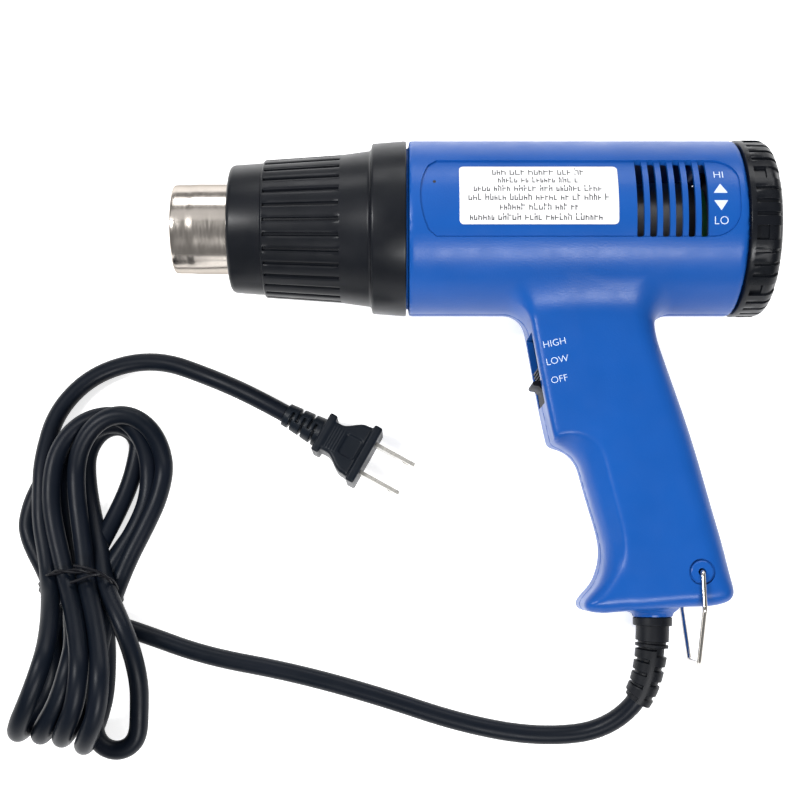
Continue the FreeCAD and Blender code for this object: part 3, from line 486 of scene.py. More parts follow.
# ---- Distance fields -----------------------------------------------------------------------------
def round_box(q0, q1, radius):
    """Joins two crosswise distances, each measured from the rounded core, into one."""
    outside = np.sqrt(np.maximum(q0, 0) ** 2 + np.maximum(q1, 0) ** 2)
    return np.minimum(np.maximum(q0, q1), 0) + outside - radius


def round_union(a, b, radius):
    return np.maximum(radius, np.minimum(a, b)) - np.hypot(np.maximum(radius - a, 0),
                                                           np.maximum(radius - b, 0))


def round_meet(a, b, radius):
    return np.minimum(-radius, np.maximum(a, b)) + np.hypot(np.maximum(radius + a, 0),
                                                            np.maximum(radius + b, 0))


def smooth_step(low, high, value):
    t = np.clip((value - low) / (high - low), 0, 1)
    return t * t * (3 - 2 * t)


def outline_distance(outline, x, y):
    """Signed distance to a closed flat outline, negative inside it."""
    nearest = np.full(np.broadcast(x, y).shape, 1e9)
    inside = np.zeros(nearest.shape, bool)
    for (ax, ay), (bx, by) in zip(outline, outline[1:] + outline[:1]):
        dx, dy = bx - ax, by - ay
        share = np.clip(((x - ax) * dx + (y - ay) * dy) / (dx * dx + dy * dy), 0, 1)
        nearest = np.minimum(nearest, (x - ax - share * dx) ** 2 + (y - ay - share * dy) ** 2)
        if ay != by:
            crosses = ((ay > y) != (by > y)) & (x < dx * (y - ay) / dy + ax)
            inside ^= crosses
    nearest = np.sqrt(nearest)
    return np.where(inside, -nearest, nearest)


def surface_of(name, field, origin, cell):
    """The mesh where a distance field is zero, with one point in each cell that the surface crosses."""
    sizes = [n - 1 for n in field.shape]
    total = np.zeros((*sizes, 3))
    hits = np.zeros(sizes)
    index = np.indices(field.shape, dtype=float)
    quads = []
    solid = field < 0
    for axis in range(3):
        others = [a for a in range(3) if a != axis]
        low = [slice(None)] * 3
        high = [slice(None)] * 3
        low[axis], high[axis] = slice(None, -1), slice(1, None)
        f0, f1 = field[tuple(low)], field[tuple(high)]
        crossed = solid[tuple(low)] != solid[tuple(high)]
        share = np.where(crossed, f0 / np.where(f0 == f1, 1.0, f0 - f1), 0.0)
        place = [index[a][tuple(low)] for a in range(3)]
        place[axis] = place[axis] + share
        for da in (0, 1):
            for db in (0, 1):
                cut = [slice(None)] * 3
                cut[others[0]] = slice(da, da + sizes[others[0]])
                cut[others[1]] = slice(db, db + sizes[others[1]])
                mask = crossed[tuple(cut)]
                hits += mask
                for a in range(3):
                    total[..., a] += place[a][tuple(cut)] * mask
        inner = [slice(None)] * 3
        for other in others:
            inner[other] = slice(1, -1)
        where = np.argwhere(crossed[tuple(inner)])
        where[:, others[0]] += 1
        where[:, others[1]] += 1
        if not len(where):
            continue
        steps = []
        for da, db in ((1, 1), (0, 1), (0, 0), (1, 0)):
            back = where.copy()
            back[:, others[0]] -= da
            back[:, others[1]] -= db
            steps.append(np.ravel_multi_index(back.T, sizes))
        quad = np.stack(steps, 1)
        turn = solid[tuple(where.T)]
        if axis == 1:
            turn = ~turn
        quad[~turn] = quad[~turn][:, ::-1]
        quads.append(quad)
    quads = np.concatenate(quads)
    used, flat = np.unique(quads, return_inverse=True)
    cells = np.array(np.unravel_index(used, sizes)).T
    points = total[tuple(cells.T)] / hits[tuple(cells.T)][:, None]
    points = points * cell + np.array(origin)
    faces = flat.reshape(-1, 4)
    mesh = bpy.data.meshes.new(name)
    mesh.vertices.add(len(points))
    mesh.vertices.foreach_set("co", points.ravel())
    mesh.loops.add(faces.size)
    mesh.loops.foreach_set("vertex_index", faces.ravel().astype(np.int32))
    mesh.polygons.add(len(faces))
    mesh.polygons.foreach_set("loop_start", np.arange(0, faces.size, 4, dtype=np.int32))
    mesh.update(calc_edges=True)
    mesh.validate()
    return mesh


# ---- Housing -------------------------------------------------------------------------------------
BARREL_R = 34.0
BARREL_LENGTH = 124.9
WALL = 2.5
HANDLE_HALF = 18.0
FIELD_CELL = 0.9
FRONT_EDGE = [(42.8, -20.0), (46.4, -41.3), (51.1, -68.8), (53.8, -82.2), (54.6, -85.0),
              (58.2, -86.4), (62.0, -89.4), (64.5, -93.0), (66.0, -99.0), (68.5, -108.1),
              (71.0, -116.5), (72.7, -124.0), (72.4, -130.5), (70.2, -137.2), (65.6, -142.0),
              (63.7, -145.2), (66.0, -148.0), (72.0, -148.4)]
REAR_EDGE = [(92.6, -20.0), (93.3, -42.0), (97.0, -54.0), (104.0, -75.3), (108.4, -90.4),
             (113.4, -110.0), (116.9, -122.8), (119.4, -134.5), (120.4, -143.0), (113.0, -145.6),
             (103.0, -145.8)]
# The edge of the ledge above the finger-groove, and the ridge that runs on from it down the grip.
LEDGE = [(53.4, -83.2), (56.5, -80.6), (61.5, -79.0), (66.0, -79.2), (70.0, -81.6), (73.4, -85.2),
         (75.6, -90.0), (77.4, -99.0), (81.5, -118.0), (86.0, -140.0), (90.0, -165.0)]
LEDGE_DROP = 4.5        # how much lower the ledge is in the middle plane
GLAND_X = 92.0
PIVOT = (107.4, -133.0)
SCREWS = [(12.0, 26.0), (12.0, -26.0), (114.5, 26.0), (114.5, -26.0), (62.5, -80.5), (108.5, -119.5),
          (75.0, -138.5)]
SCREW_SEAT = 3.6        # depth of a screw's seat below the far side
BOSS_R = 3.6
SCREW_HOLE_R = 1.6
SCREW_HEAD_HOLE_R = 3.1
END_RING_R = (28.5, 31.0)       # the ring inside each end of the barrel
NOZZLE_HOLE_R = 18.6
GLAND_HOLE_R = 6.0


def side_height(x, y):
    """Half the handle's thickness: it thins a little from the grip's ridge to the front edge."""
    ridge = 62.0 - (y + 31.0) * 0.19
    return HANDLE_HALF - 1.3 * np.clip((ridge - x) / 16.0, 0, 1) * smooth_step(-92.0, -84.0, y)


def handle_field(x, y, z):
    front = [tuple(p) for p in chaikin(FRONT_EDGE, 2)]
    rear = [tuple(p) for p in chaikin(REAR_EDGE, 2)]
    flat = outline_distance(front + rear[::-1], x, y)
    front_x = np.interp(-y, [-p[1] for p in front], [p[0] for p in front])
    rear_x = np.interp(-y, [-p[1] for p in rear], [p[0] for p in rear])
    rearward = smooth_step(0.35, 0.65, (x - front_x) / np.maximum(rear_x - front_x, 1))
    foot = smooth_step(130.0, 142.0, -y)
    toe = smooth_step(116.0, 146.0, -y)
    block_edge = (2.5 + 6.5 * rearward) * (1 - foot) + 5.5 * foot
    grip_edge = (15.0 - 6.0 * rearward) * (1 - toe) + 6.5 * toe
    block = round_box(flat + block_edge, np.abs(z) - side_height(x, y) + block_edge, block_edge)
    grip = round_box(flat + grip_edge, np.abs(z) - HANDLE_HALF - 0.3 + grip_edge, grip_edge)
    ledge = [tuple(p) for p in chaikin(LEDGE, 2)]
    above = ledge + [(140.0, -165.0), (140.0, 10.0), (20.0, 10.0), (20.0, -86.0)]
    drop = LEDGE_DROP * (1 - np.minimum(np.abs(z) / HANDLE_HALF, 1.0))
    upper = outline_distance(above, x + 0 * z, y + drop)
    return round_meet(block, round_union(grip, upper, 6.5), 0.9)


def rod_field(x0, x1, radius, x, across):
    """Distance to a round bar along x, where across is the distance from its axis."""
    return np.maximum(across - radius, np.abs(x - (x0 + x1) / 2) - (x1 - x0) / 2)


def housing_field(x, y, z):
    """Distance to the outside of the whole housing."""
    rho = np.hypot(y, z)
    edge = 1.0
    barrel = round_box(rho - BARREL_R + edge, np.abs(x - BARREL_LENGTH / 2) - BARREL_LENGTH / 2 + edge,
                       edge)
    body = round_union(barrel, handle_field(x, y, z), 8.0)
    across = np.hypot(x - GLAND_X, z)
    ring_edge = 1.5
    ring = round_box(across - 9.7 + ring_edge, np.abs(y + 141.3) - 6.6 + ring_edge, ring_edge)
    neck_edge = 0.7
    neck = round_box(across - 7.7 + neck_edge, np.abs(y + 141.9) - 8.0 + neck_edge, neck_edge)
    return np.minimum(round_union(body, ring, 1.6), neck)


def housing_half(side, outside, x, y, z):
    """One hollow half, drawn on the near side; side is -1 for the half that takes the screw heads."""
    rho = np.hypot(y, z)
    hollow = np.maximum(outside, -(outside + WALL))
    hollow = np.maximum(hollow, -rod_field(-1.0, 5.0, NOZZLE_HOLE_R, x, rho))
    hollow = np.maximum(hollow, -rod_field(BARREL_LENGTH - 5, BARREL_LENGTH + 1, END_RING_R[0], x, rho))
    for x0, x1 in ((-10.0, 1.0), (BARREL_LENGTH - 3.0, 130.0)):
        ring = np.maximum(rod_field(x0, x1, END_RING_R[1], x, rho), END_RING_R[0] - rho)
        hollow = np.minimum(hollow, ring)
    for sx, sy in SCREWS:
        away = np.hypot(x - sx, y - sy)
        hollow = np.minimum(hollow, np.maximum(away - BOSS_R, outside))
        if side > 0:
            hollow = np.maximum(hollow, -np.maximum(away - SCREW_HOLE_R, z - 10.0))
        else:
            hollow = np.maximum(hollow, SCREW_HOLE_R - away)
            seat = (math.sqrt(BARREL_R ** 2 - sy ** 2) if abs(sy) < 29 else HANDLE_HALF) - SCREW_SEAT
            hollow = np.maximum(hollow, -np.maximum(away - SCREW_HEAD_HOLE_R, seat - z))
    away = np.hypot(x - PIVOT[0], y - PIVOT[1])
    hollow = np.minimum(hollow, np.maximum(away - 4.6, np.maximum(outside, 12.5 - z)))
    across = np.hypot(x - GLAND_X, z)
    hollow = np.maximum(hollow, -np.maximum(across - GLAND_HOLE_R, y + 138.0))
    return np.maximum(hollow, 0.02 - z)


PANEL_MIDDLE = 8.0
PANEL_HALF = 26.8
PANEL_X0 = 4.0
PANEL_X1 = 122.0
PANEL_DEPTH = 0.8
PANEL_R = BARREL_R - PANEL_DEPTH
VENT_X0 = 83.9
VENT_PITCH = 4.72
VENT_WIDTH = 2.7
VENT_COUNT = 6
VENT_HALF = 27.0


def arc_mm(degrees):
    """Length round the barrel's surface."""
    return math.radians(degrees) * BARREL_R


def panel_outline():
    """Rounded at the rear, and one wide arc at the front."""
    low, high = arc_mm(PANEL_MIDDLE - PANEL_HALF), arc_mm(PANEL_MIDDLE + PANEL_HALF)
    front = []
    for step in range(1, 12):
        share = 1 - 2 * step / 12
        front.append(((PANEL_X0 + 4.4 * share ** 2), (low + high) / 2 + share * (high - low) / 2))
    corners = [(PANEL_X0 + 6.2, low), (PANEL_X1, low), (PANEL_X1, high), (PANEL_X0 + 6.2, high)]
    outline = rounded(corners, [0, 10.0, 10.0, 0], 10)
    return outline + [Vector(p) for p in front]


def housing_cutters(side):
    """Two sets of clean cutters: the shallow ones, then those that go through the wall."""
    shallow = [curved_plate("panel", panel_outline(), PANEL_R, BARREL_R + 3, side)]
    middle = Vector((*PIVOT, side * HANDLE_HALF))
    shallow.append(ring_cutter(middle, 4.15, 4.85, side))
    deep = []
    for number in range(VENT_COUNT):
        x0 = VENT_X0 + number * VENT_PITCH
        low, high = arc_mm(PANEL_MIDDLE - VENT_HALF), arc_mm(PANEL_MIDDLE + VENT_HALF)
        outline = rounded([(x0, low), (x0 + VENT_WIDTH, low), (x0 + VENT_WIDTH, high), (x0, high)],
                          [0.7] * 4, 3)
        deep.append(curved_plate("vent", outline, BARREL_R - WALL - 2, BARREL_R + 3, side))
    hole = [(3, 0), (11, 0), (11, 1.75), (3, 1.75)]
    deep.append(upright(turned("pivot_hole", hole, 32), middle - Vector((0, 0, 7 * side)), side))
    return joined("shallow", shallow), joined("deep", deep)


def upright(mesh, at, side):
    """Stands a turned mesh on end: its x axis becomes the gun's z axis, out of the chosen side."""
    if side > 0:
        mesh.transform(Matrix.Translation(at) @ Matrix.Rotation(-math.pi / 2, 4, "Y"))
    else:
        mesh.transform(Matrix.Translation(at) @ Matrix.Rotation(math.pi / 2, 4, "Y"))
    return mesh


def ring_cutter(at, inner, outer, side):
    profile = [(-0.8, inner), (-0.8, outer), (4.0, outer), (4.0, inner)]
    return upright(turned("ring_groove", profile, 64), at, side)


SWITCH_TOP = Vector((47.9, -42.4, 0))
SWITCH_BOTTOM = Vector((51.8, -69.6, 0))
SWITCH_DIR = (SWITCH_TOP - SWITCH_BOTTOM).normalized()
SWITCH_OUT = Vector((-SWITCH_DIR.y, SWITCH_DIR.x, 0))
SWITCH_LENGTH = (SWITCH_TOP - SWITCH_BOTTOM).length
SWITCH_WIDTH = 22.0
SWITCH_DEPTH = 1.6
SLIDER_LENGTH = 13.8
SLIDER_GAP = 0.3
SLIDER_TRAVEL = 13.0
KNOB_HALF = 9.0
ACROSS = Vector((0, 0, 1))
SWITCH_SIDEWAYS = (SWITCH_BOTTOM, SWITCH_DIR, SWITCH_OUT, ACROSS)


def switch_cutter(s0, s1, out0, out1, half_width, corner):
    """A block along the front of the handle, with rounded upright corners."""
    outline = rounded([(s0, -half_width), (s1, -half_width), (s1, half_width), (s0, half_width)],
                      [corner] * 4, 4)
    axes = (SWITCH_BOTTOM, SWITCH_DIR, ACROSS, SWITCH_OUT)
    return bevelled_block("switch_cut", outline, out0, out1, axes, bevel=0)


def mirrored_mesh(mesh):
    copy = mesh.copy()
    copy.transform(Matrix.Scale(-1, 4, (0, 0, 1)))
    copy.flip_normals()
    return copy


def make_housing():
    x0, y0, z0 = -11.2, -151.4, -1.7
    x = np.arange(x0, 132.0, FIELD_CELL)[:, None, None]
    y = np.arange(y0, 36.0, FIELD_CELL)[None, :, None]
    z = np.arange(z0, 36.0, FIELD_CELL)[None, None, :]
    outside = housing_field(x, y, z)
    recess = switch_cutter(0, SWITCH_LENGTH, -SWITCH_DEPTH, 8, SWITCH_WIDTH / 2, 1.0)
    stem_low = SLIDER_LENGTH / 2 - 3.2
    slot = switch_cutter(stem_low, stem_low + SLIDER_TRAVEL + 6.8, -8.0, 2.0, 2.6, 0.5)
    for name, side in (("housing_near", 1), ("housing_far", -1)):
        mesh = surface_of(name, housing_half(side, outside, x, y, z), (x0, y0, z0), FIELD_CELL)
        if side < 0:
            mesh = mirrored_mesh(mesh)
        shallow, deep = housing_cutters(side)
        mesh = carved(mesh, [shallow, recess.copy(), deep, slot.copy()])
        mesh.name = name
        show(name + "_shell", mesh, "blue_housing", nodes=[name], crease=38.0)


def make_pivot_bosses():
    """The raised disc with a hole that the bail's wire turns in, on each side."""
    for side, name in ((1, "near"), (-1, "far")):
        profile = [(-1.2, 1.35), (0.12, 1.35), (0.32, 1.6), (0.32, 3.7), (0.1, 4.05), (-1.2, 4.05)]
        disc = upright(turned("pivot_boss", profile, 48), Vector((*PIVOT, side * HANDLE_HALF)), side)
        show("pivot_boss_" + name, disc, "blue_housing")


# ---- Nozzle, shield and dial ---------------------------------------------------------------------
TIP_X = -91.0
TIP_LENGTH = 7.5
TUBE_R = 17.5
TIP_R = 17.3
SHIELD_X = -68.8


def make_nozzle():
    """The nickelled tube, with a rolled lip at its mouth."""
    step = TIP_X + TIP_LENGTH
    inner = TUBE_R - 1.1
    lip = []
    for number in range(9):
        angle = math.pi * number / 8
        lip.append((TIP_X + 0.75 - 0.75 * math.sin(angle), TIP_R - 0.85 - 0.75 * math.cos(angle)))
    profile = [(TIP_X + 1.6, inner - 0.9)] + lip + [
        (TIP_X + 1.6, TIP_R - 0.02), (TIP_X + 1.9, TIP_R), (step - 1.7, TIP_R), (step - 1.4, TIP_R),
        (step - 0.6, TIP_R + 0.04), (step, (TIP_R + TUBE_R) / 2), (step + 0.6, TUBE_R - 0.04),
        (step + 1.4, TUBE_R), (step + 1.7, TUBE_R), (SHIELD_X - 0.2, TUBE_R), (SHIELD_X + 0.1, TUBE_R),
        (SHIELD_X + 0.2, 17.2), (3.4, 17.2), (3.4, 27.0), (4.4, 27.0),
        (4.4, inner), (step + 1.2, inner), (step - 1.0, inner - 0.5),
    ]
    show("nozzle", turned("nozzle", profile, 160), "nozzle_steel", nodes=["nozzle_tube"], crease=50.0)


SHIELD_LANDS = 30
LAND_X0 = -54.9
LAND_X1 = -26.2
LAND_DEPTH = 1.0


def shield_groove(x, angle):
    """Depth of the grooves between the shield's lands."""
    pitch = 2 * math.pi / SHIELD_LANDS
    away = abs((angle / pitch + 0.5) % 1.0 - 0.5) * 360 / SHIELD_LANDS
    if away < 0.8:
        return LAND_DEPTH
    if away < 1.2:
        return LAND_DEPTH * 0.82
    if away < 1.5:
        return LAND_DEPTH * 0.22
    if away < 2.3:
        return LAND_DEPTH * 0.06
    return 0.0


def make_shield():
    body = [(-68.8, 21.3), (-68.8, 23.2), (-68.65, 23.75), (-68.3, 24.25), (-67.8, 24.6), (-67.0, 24.85),
            (-56.5, 25.6), (-55.95, 25.7), (-55.75, 25.95)]
    slope = (28.75 - 26.8) / (LAND_X1 - LAND_X0)
    lands = [(-55.6, 26.45, 0.0), (-55.35, 26.72, 0.0), (LAND_X0, 26.8, 0.0)]
    for step in range(13):
        x = LAND_X0 + 0.15 + (LAND_X1 - LAND_X0 - 0.3) * step / 12
        lands.append((x, 26.8 + slope * (x - LAND_X0), 1.0))
    lands.append((LAND_X1, 28.75, 0.0))
    rear = [(-25.6, 28.8), (-15.6, 30.2), (-15.1, 30.3), (-14.6, 30.7), (-14.35, 31.3), (-14.25, 32.0),
            (-14.1, 32.6), (-13.7, 32.95), (-13.1, 33.08), (-2.0, 33.95), (-1.3, 33.9), (-0.95, 33.6),
            (-0.9, 33.2), (-0.9, 31.25), (-12.0, 31.25), (-12.6, 28.4), (-54.0, 23.6), (-67.0, 22.6),
            (-67.0, 21.3)]
    angles = []
    for land in range(SHIELD_LANDS):
        for degrees in (-0.75, 0.75, 1.1, 1.4, 2.2, 3.8, 6.0, 8.2, 9.8, 10.6, 10.9):
            angles.append(math.radians(land * 360 / SHIELD_LANDS + degrees))
    mesh = turned("heat_shield", body + lands + rear, groove=shield_groove, angles=angles,
                  tilt=math.radians(180 / SHIELD_LANDS))
    show("shield", mesh, "black_shield", nodes=["heat_shield"], crease=33.0)


DIAL_X0 = 125.6
DIAL_X1 = 138.3
DIAL_R = 34.3
DIAL_EDGE = 4.6
DIAL_GROUPS = 9
DIAL_TILT = -16.0       # degrees from the side of the gun to the middle of a window
DIAL_NARROW = (11.7, 20.0)      # degrees from the middle of a wide groove to the narrow ones
WINDOW_X = (127.9, 132.4)


def dial_groove(x, angle):
    """Wide grooves with a deep window at their front, and narrow grooves between them."""
    pitch = 360.0 / DIAL_GROUPS
    at = (math.degrees(angle) + pitch / 2) % pitch - pitch / 2
    if x < WINDOW_X[0]:
        return 0.0
    if abs(at) < 4.3:
        return 1.5 if x < WINDOW_X[1] else 0.65
    for middle in DIAL_NARROW:
        away = abs(abs(at) - middle)
        if away < 0.85:
            return 0.8
        if away < 1.3:
            return 0.12
    return 0.0


def make_dial():
    band = [(DIAL_X0, 31.5), (DIAL_X0, DIAL_R - 0.6), (DIAL_X0 + 0.2, DIAL_R - 0.2),
            (DIAL_X0 + 0.6, DIAL_R), (WINDOW_X[0] - 0.15, DIAL_R)]
    rim = [(WINDOW_X[0] + 0.05, DIAL_R, 1.0), (WINDOW_X[1] - 0.1, DIAL_R, 1.0),
           (WINDOW_X[1] + 0.1, DIAL_R, 1.0)]
    steps = 12
    for step in range(steps + 1):
        angle = math.radians(90.0 * step / steps)
        share = 1.0 if step <= 8 else max(0.0, 1.0 - (step - 8) / 3)
        rim.append((DIAL_X1 - DIAL_EDGE + DIAL_EDGE * math.sin(angle),
                    DIAL_R - DIAL_EDGE + DIAL_EDGE * math.cos(angle), share))
    back = [(DIAL_X1, 28.0), (DIAL_X1 - 0.5, 27.4), (DIAL_X1 - 0.7, 26.6), (DIAL_X1 - 0.7, 10.4),
            (DIAL_X1 - 0.4, 9.8), (DIAL_X1 - 0.4, 0.0), (135.2, 0.0), (135.2, 3.05), (131.2, 3.05),
            (131.2, 6.2), (135.6, 6.2), (135.6, 31.5)]
    angles = []
    pitch = 360.0 / DIAL_GROUPS
    for group in range(DIAL_GROUPS):
        marks = [-4.6, -4.25, -2.0, 0.0, 2.0, 4.25, 4.6, 6.6, 8.6]
        for middle in (*DIAL_NARROW, pitch - DIAL_NARROW[0]):
            marks += [middle - 1.45, middle - 1.2, middle - 0.8, middle + 0.8, middle + 1.2,
                      middle + 1.45]
        marks += [15.9, 24.1, 31.8, 33.4]
        for degrees in sorted(marks):
            angles.append(math.radians(group * pitch + degrees))
    mesh = turned("dial", band + rim + back, groove=dial_groove, angles=angles,
                  tilt=math.radians(DIAL_TILT))
    show("dial", mesh, "black_dial", body="dial", nodes=["temperature_dial"], crease=33.0)


# ---- Label and marks -----------------------------------------------------------------------------
LABEL_X0 = 18.6
LABEL_X1 = 77.2
LABEL_LOW = -11.0       # degrees round the barrel
LABEL_HIGH = 29.6
LABEL_THICK = 0.22


def make_label():
    low, high = arc_mm(LABEL_LOW), arc_mm(LABEL_HIGH)
    outline = rounded([(LABEL_X0, low), (LABEL_X1, low), (LABEL_X1, high), (LABEL_X0, high)],
                      [1.6] * 4, 5)
    plate = curved_plate("label", outline, PANEL_R - 0.02, PANEL_R + LABEL_THICK)
    show("label", plate, "label", nodes=["rating_label"])


# Each line of dummy print: its height up the label, the size of its letters, and its length.
PRINT_LINES = [(0.895, 3.2, 34.0), (0.735, 2.5, 30.0), (0.585, 2.6, 48.0), (0.435, 2.6, 52.0),
               (0.28, 2.6, 29.0), (0.12, 2.6, 51.0)]


def make_label_print():
    """Rows of plain strokes where a rating label has its print; they spell nothing."""
    chance = random.Random(4)
    low, high = arc_mm(LABEL_LOW), arc_mm(LABEL_HIGH)
    strokes = []
    for share, tall, length in PRINT_LINES:
        middle = low + share * (high - low)
        x = (LABEL_X0 + LABEL_X1 - length) / 2
        end = x + length
        while x < end - 1.0:
            word_end = min(end, x + chance.uniform(3.2, 9.5))
            while x < word_end - 0.7:
                wide = chance.uniform(0.85, 1.25) * tall / 2.3
                rise = tall * chance.choice((0.70, 0.74, 1.0))
                strokes += dummy_letter(x, middle - tall / 2, wide, rise, chance)
                x += wide + 0.42
            x += 1.1
    show("label_print", joined("label_print", strokes), "label", paint=INK_GREY)


def dummy_letter(x, base, wide, tall, chance):
    """Two uprights with a bar at the top, middle or foot: the texture of a letter without its shape."""
    pen = 0.34
    bars = [(x, base, x + pen, base + tall)]
    if chance.random() < 0.6:
        bars.append((x + wide - pen, base, x + wide, base + tall * 0.66))
    level = base + chance.choice((0.0, 0.4, 0.62)) * tall
    bars.append((x + pen, level, x + wide - (pen if len(bars) > 1 else 0), level + pen))
    plates = []
    for x0, y0, x1, y1 in bars:
        outline = [Vector(p) for p in ((x0, y0), (x1, y0), (x1, y1), (x0, y1))]
        plates.append(curved_plate("bar", outline, PANEL_R + LABEL_THICK - 0.01,
                                   PANEL_R + LABEL_THICK + 0.02, spacing=4.0))
    return plates


def letters(text, size, extrude):
    """A flat mesh of a plain word, with its middle at the origin."""
    curve = bpy.data.curves.new(text, "FONT")
    curve.body = text
    curve.size = size
    curve.align_x = "CENTER"
    curve.align_y = "CENTER"
    curve.extrude = extrude
    curve.offset = -0.012 * size
    curve.resolution_u = 4
    holder = bpy.data.objects.new(text, curve)
    bpy.context.scene.collection.objects.link(holder)
    bpy.context.view_layer.update()
    mesh = bpy.data.meshes.new_from_object(holder.evaluated_get(
        bpy.context.evaluated_depsgraph_get()))
    bpy.data.objects.remove(holder)
    return mesh


def wrapped(mesh, x, degrees):
    """Bends a flat mark onto the side panel."""
    for vert in mesh.vertices:
        angle = math.radians(degrees) + vert.co.y / PANEL_R
        radius = PANEL_R + 0.02 + vert.co.z
        vert.co = (x + vert.co.x, radius * math.sin(angle), radius * math.cos(angle))
    mesh.update()
    return mesh


def arrow(x, degrees, points_up):
    """A filled triangle on the side panel, for hotter or cooler."""
    tip = 1 if points_up else -1
    middle = arc_mm(degrees)
    corners = [(x - 2.6, middle - 1.95 * tip), (x + 2.6, middle - 1.95 * tip), (x, middle + 1.95 * tip)]
    outline = rounded(corners if points_up else corners[::-1], [0.15] * 3, 2)
    return curved_plate("arrow", outline, PANEL_R - 0.02, PANEL_R + 0.03, spacing=0.5)


DIAL_MARK_SIZE = 4.3
SWITCH_MARK_SIZE = 3.65
SWITCH_MARK_TILT = 11.0         # degrees
MARK_THICK = 0.02


def make_marks():
    """Plain control marks: hotter and cooler beside the dial, three positions beside the switch."""
    beside_dial = [
        wrapped(letters("HI", DIAL_MARK_SIZE, MARK_THICK), 114.6, 22.8),
        arrow(114.8, 12.8, True),
        arrow(114.8, 1.2, False),
        wrapped(letters("LO", DIAL_MARK_SIZE, MARK_THICK), 114.8, -8.8),
    ]
    show("dial_marks", joined("dial_marks", beside_dial), "label", paint=INK_WHITE)
    beside_switch = []
    for text, x, y in (("HIGH", 54.6, -47.9), ("LOW", 55.5, -54.5), ("OFF", 56.2, -61.6)):
        word = letters(text, SWITCH_MARK_SIZE, MARK_THICK)
        turn = Matrix.Rotation(math.radians(SWITCH_MARK_TILT), 4, "Z")
        word.transform(Matrix.Translation((x, y, 0)) @ turn)
        for vert in word.vertices:
            vert.co.z += float(side_height(vert.co.x, vert.co.y)) + 0.03
        beside_switch.append(word)
    show("switch_marks", joined("switch_marks", beside_switch), "label", paint=INK_WHITE)
    dot = [(-0.02, 0.0), (-0.02, 0.62), (0.06, 0.5), (0.09, 0.0)]
    mark = turned("panel_dot", dot, 16)
    mark.transform(Matrix.Rotation(-math.pi / 2, 4, "Y"))
    show("panel_dot", wrapped(mark, 9.4, 17.7), "label", paint=INK_GREY)


# ---- Switch slider -------------------------------------------------------------------------------
def make_slider():
    """Thumb slider at its lowest position, off: a plate, a pointed thumb bump and three ridges."""
    low, high = SLIDER_GAP, SLIDER_GAP + SLIDER_LENGTH
    middle = (low + high) / 2
    half = SWITCH_WIDTH / 2 - 0.25
    plate = rounded([(low, -half), (high, -half), (high, half), (low, half)], [0.8] * 4, 4)
    facing = (SWITCH_BOTTOM, SWITCH_DIR, ACROSS, SWITCH_OUT)
    pieces = [bevelled_block("plate", plate, -SWITCH_DEPTH + 0.15, 0.15, facing, 0.2)]
    tip = middle + 0.9
    bump = [(tip - 3.1, -0.1), (tip - 2.3, 0.8), (tip - 1.3, 1.5), (tip - 0.8, 3.2), (tip - 0.2, 3.65),
            (tip + 0.6, 3.5), (tip + 0.9, 2.7), (tip + 0.7, 1.4), (tip + 1.3, -0.1)]
    pieces.append(bevelled_block("bump", bump, -KNOB_HALF, KNOB_HALF, SWITCH_SIDEWAYS, 0.18))
    for place in (2.6, 4.0, 5.4):
        ridge = [(tip + place - 0.5, 0.0), (tip + place - 0.35, 0.75), (tip + place + 0.35, 0.75),
                 (tip + place + 0.5, 0.0)]
        pieces.append(bevelled_block("ridge", ridge, -KNOB_HALF, KNOB_HALF, SWITCH_SIDEWAYS, 0.12))
    stem = [(middle - 2.6, -2.3), (middle + 2.6, -2.3), (middle + 2.6, 2.3), (middle - 2.6, 2.3)]
    pieces.append(bevelled_block("stem", stem, -9.0, -1.0, facing, 0.3))
    show("slider", joined("slider", pieces), "black_dial", body="slider", nodes=["switch_slider"],
         paint=SLIDER_BLACK)


# ---- Lead, hank and tail -------------------------------------------------------------------------
CORD_R = 0.0036
LEAD_ROUTE = [
    (0.06835, -0.08264, 0.02176),
    (0.06835, -0.10655, 0.01975),
    (0.0525, -0.1245, 0.0090),
    (0.0260, -0.1273, 0.0038),
    (-0.0040, -0.1220, 0.0036),
    (-0.0360, -0.1115, 0.0036),
    (-0.0700, -0.1025, 0.0036),
    (-0.1020, -0.0968, 0.0036),
    (-0.1270, -0.0880, 0.0036),
]
TAIL_ROUTE = [
    (-0.1680, -0.0340, 0.0108),
    (-0.1685, -0.0205, 0.0096),
    (-0.1650, 0.0005, 0.0056),
    (-0.1500, 0.0168, 0.0038),
    (-0.1260, 0.0226, 0.0036),
    (-0.1015, 0.0134, 0.0044),
    (-0.08492, 0.00507, 0.0090),
    (-0.0718, -0.0022, 0.0090),
]
# What follows is in millimetres of the row frame, until hank_points() turns it into metres. Each
# strand passes through the tie at a slot, an (x, z) at WAIST_Y.
WAIST_Y = -70.0
FLOOR_Z = 3.6
SLOT_LEAD = (-163.5, FLOOR_Z)
UPPER_SLOTS = {"b1": (-161.5, 15.0), "b2": (-152.6, 9.6), "b3": (-154.2, 17.6), "b4": (-147.0, 17.6),
               "b5": (-140.6, 15.6)}
RIGHT_SLOTS = {"D": (-139.8, 3.6), "A": (-136.6, 9.8), "C": (-150.2, 10.4), "B": (-143.6, 9.8),
               "E": (-147.0, 3.6)}
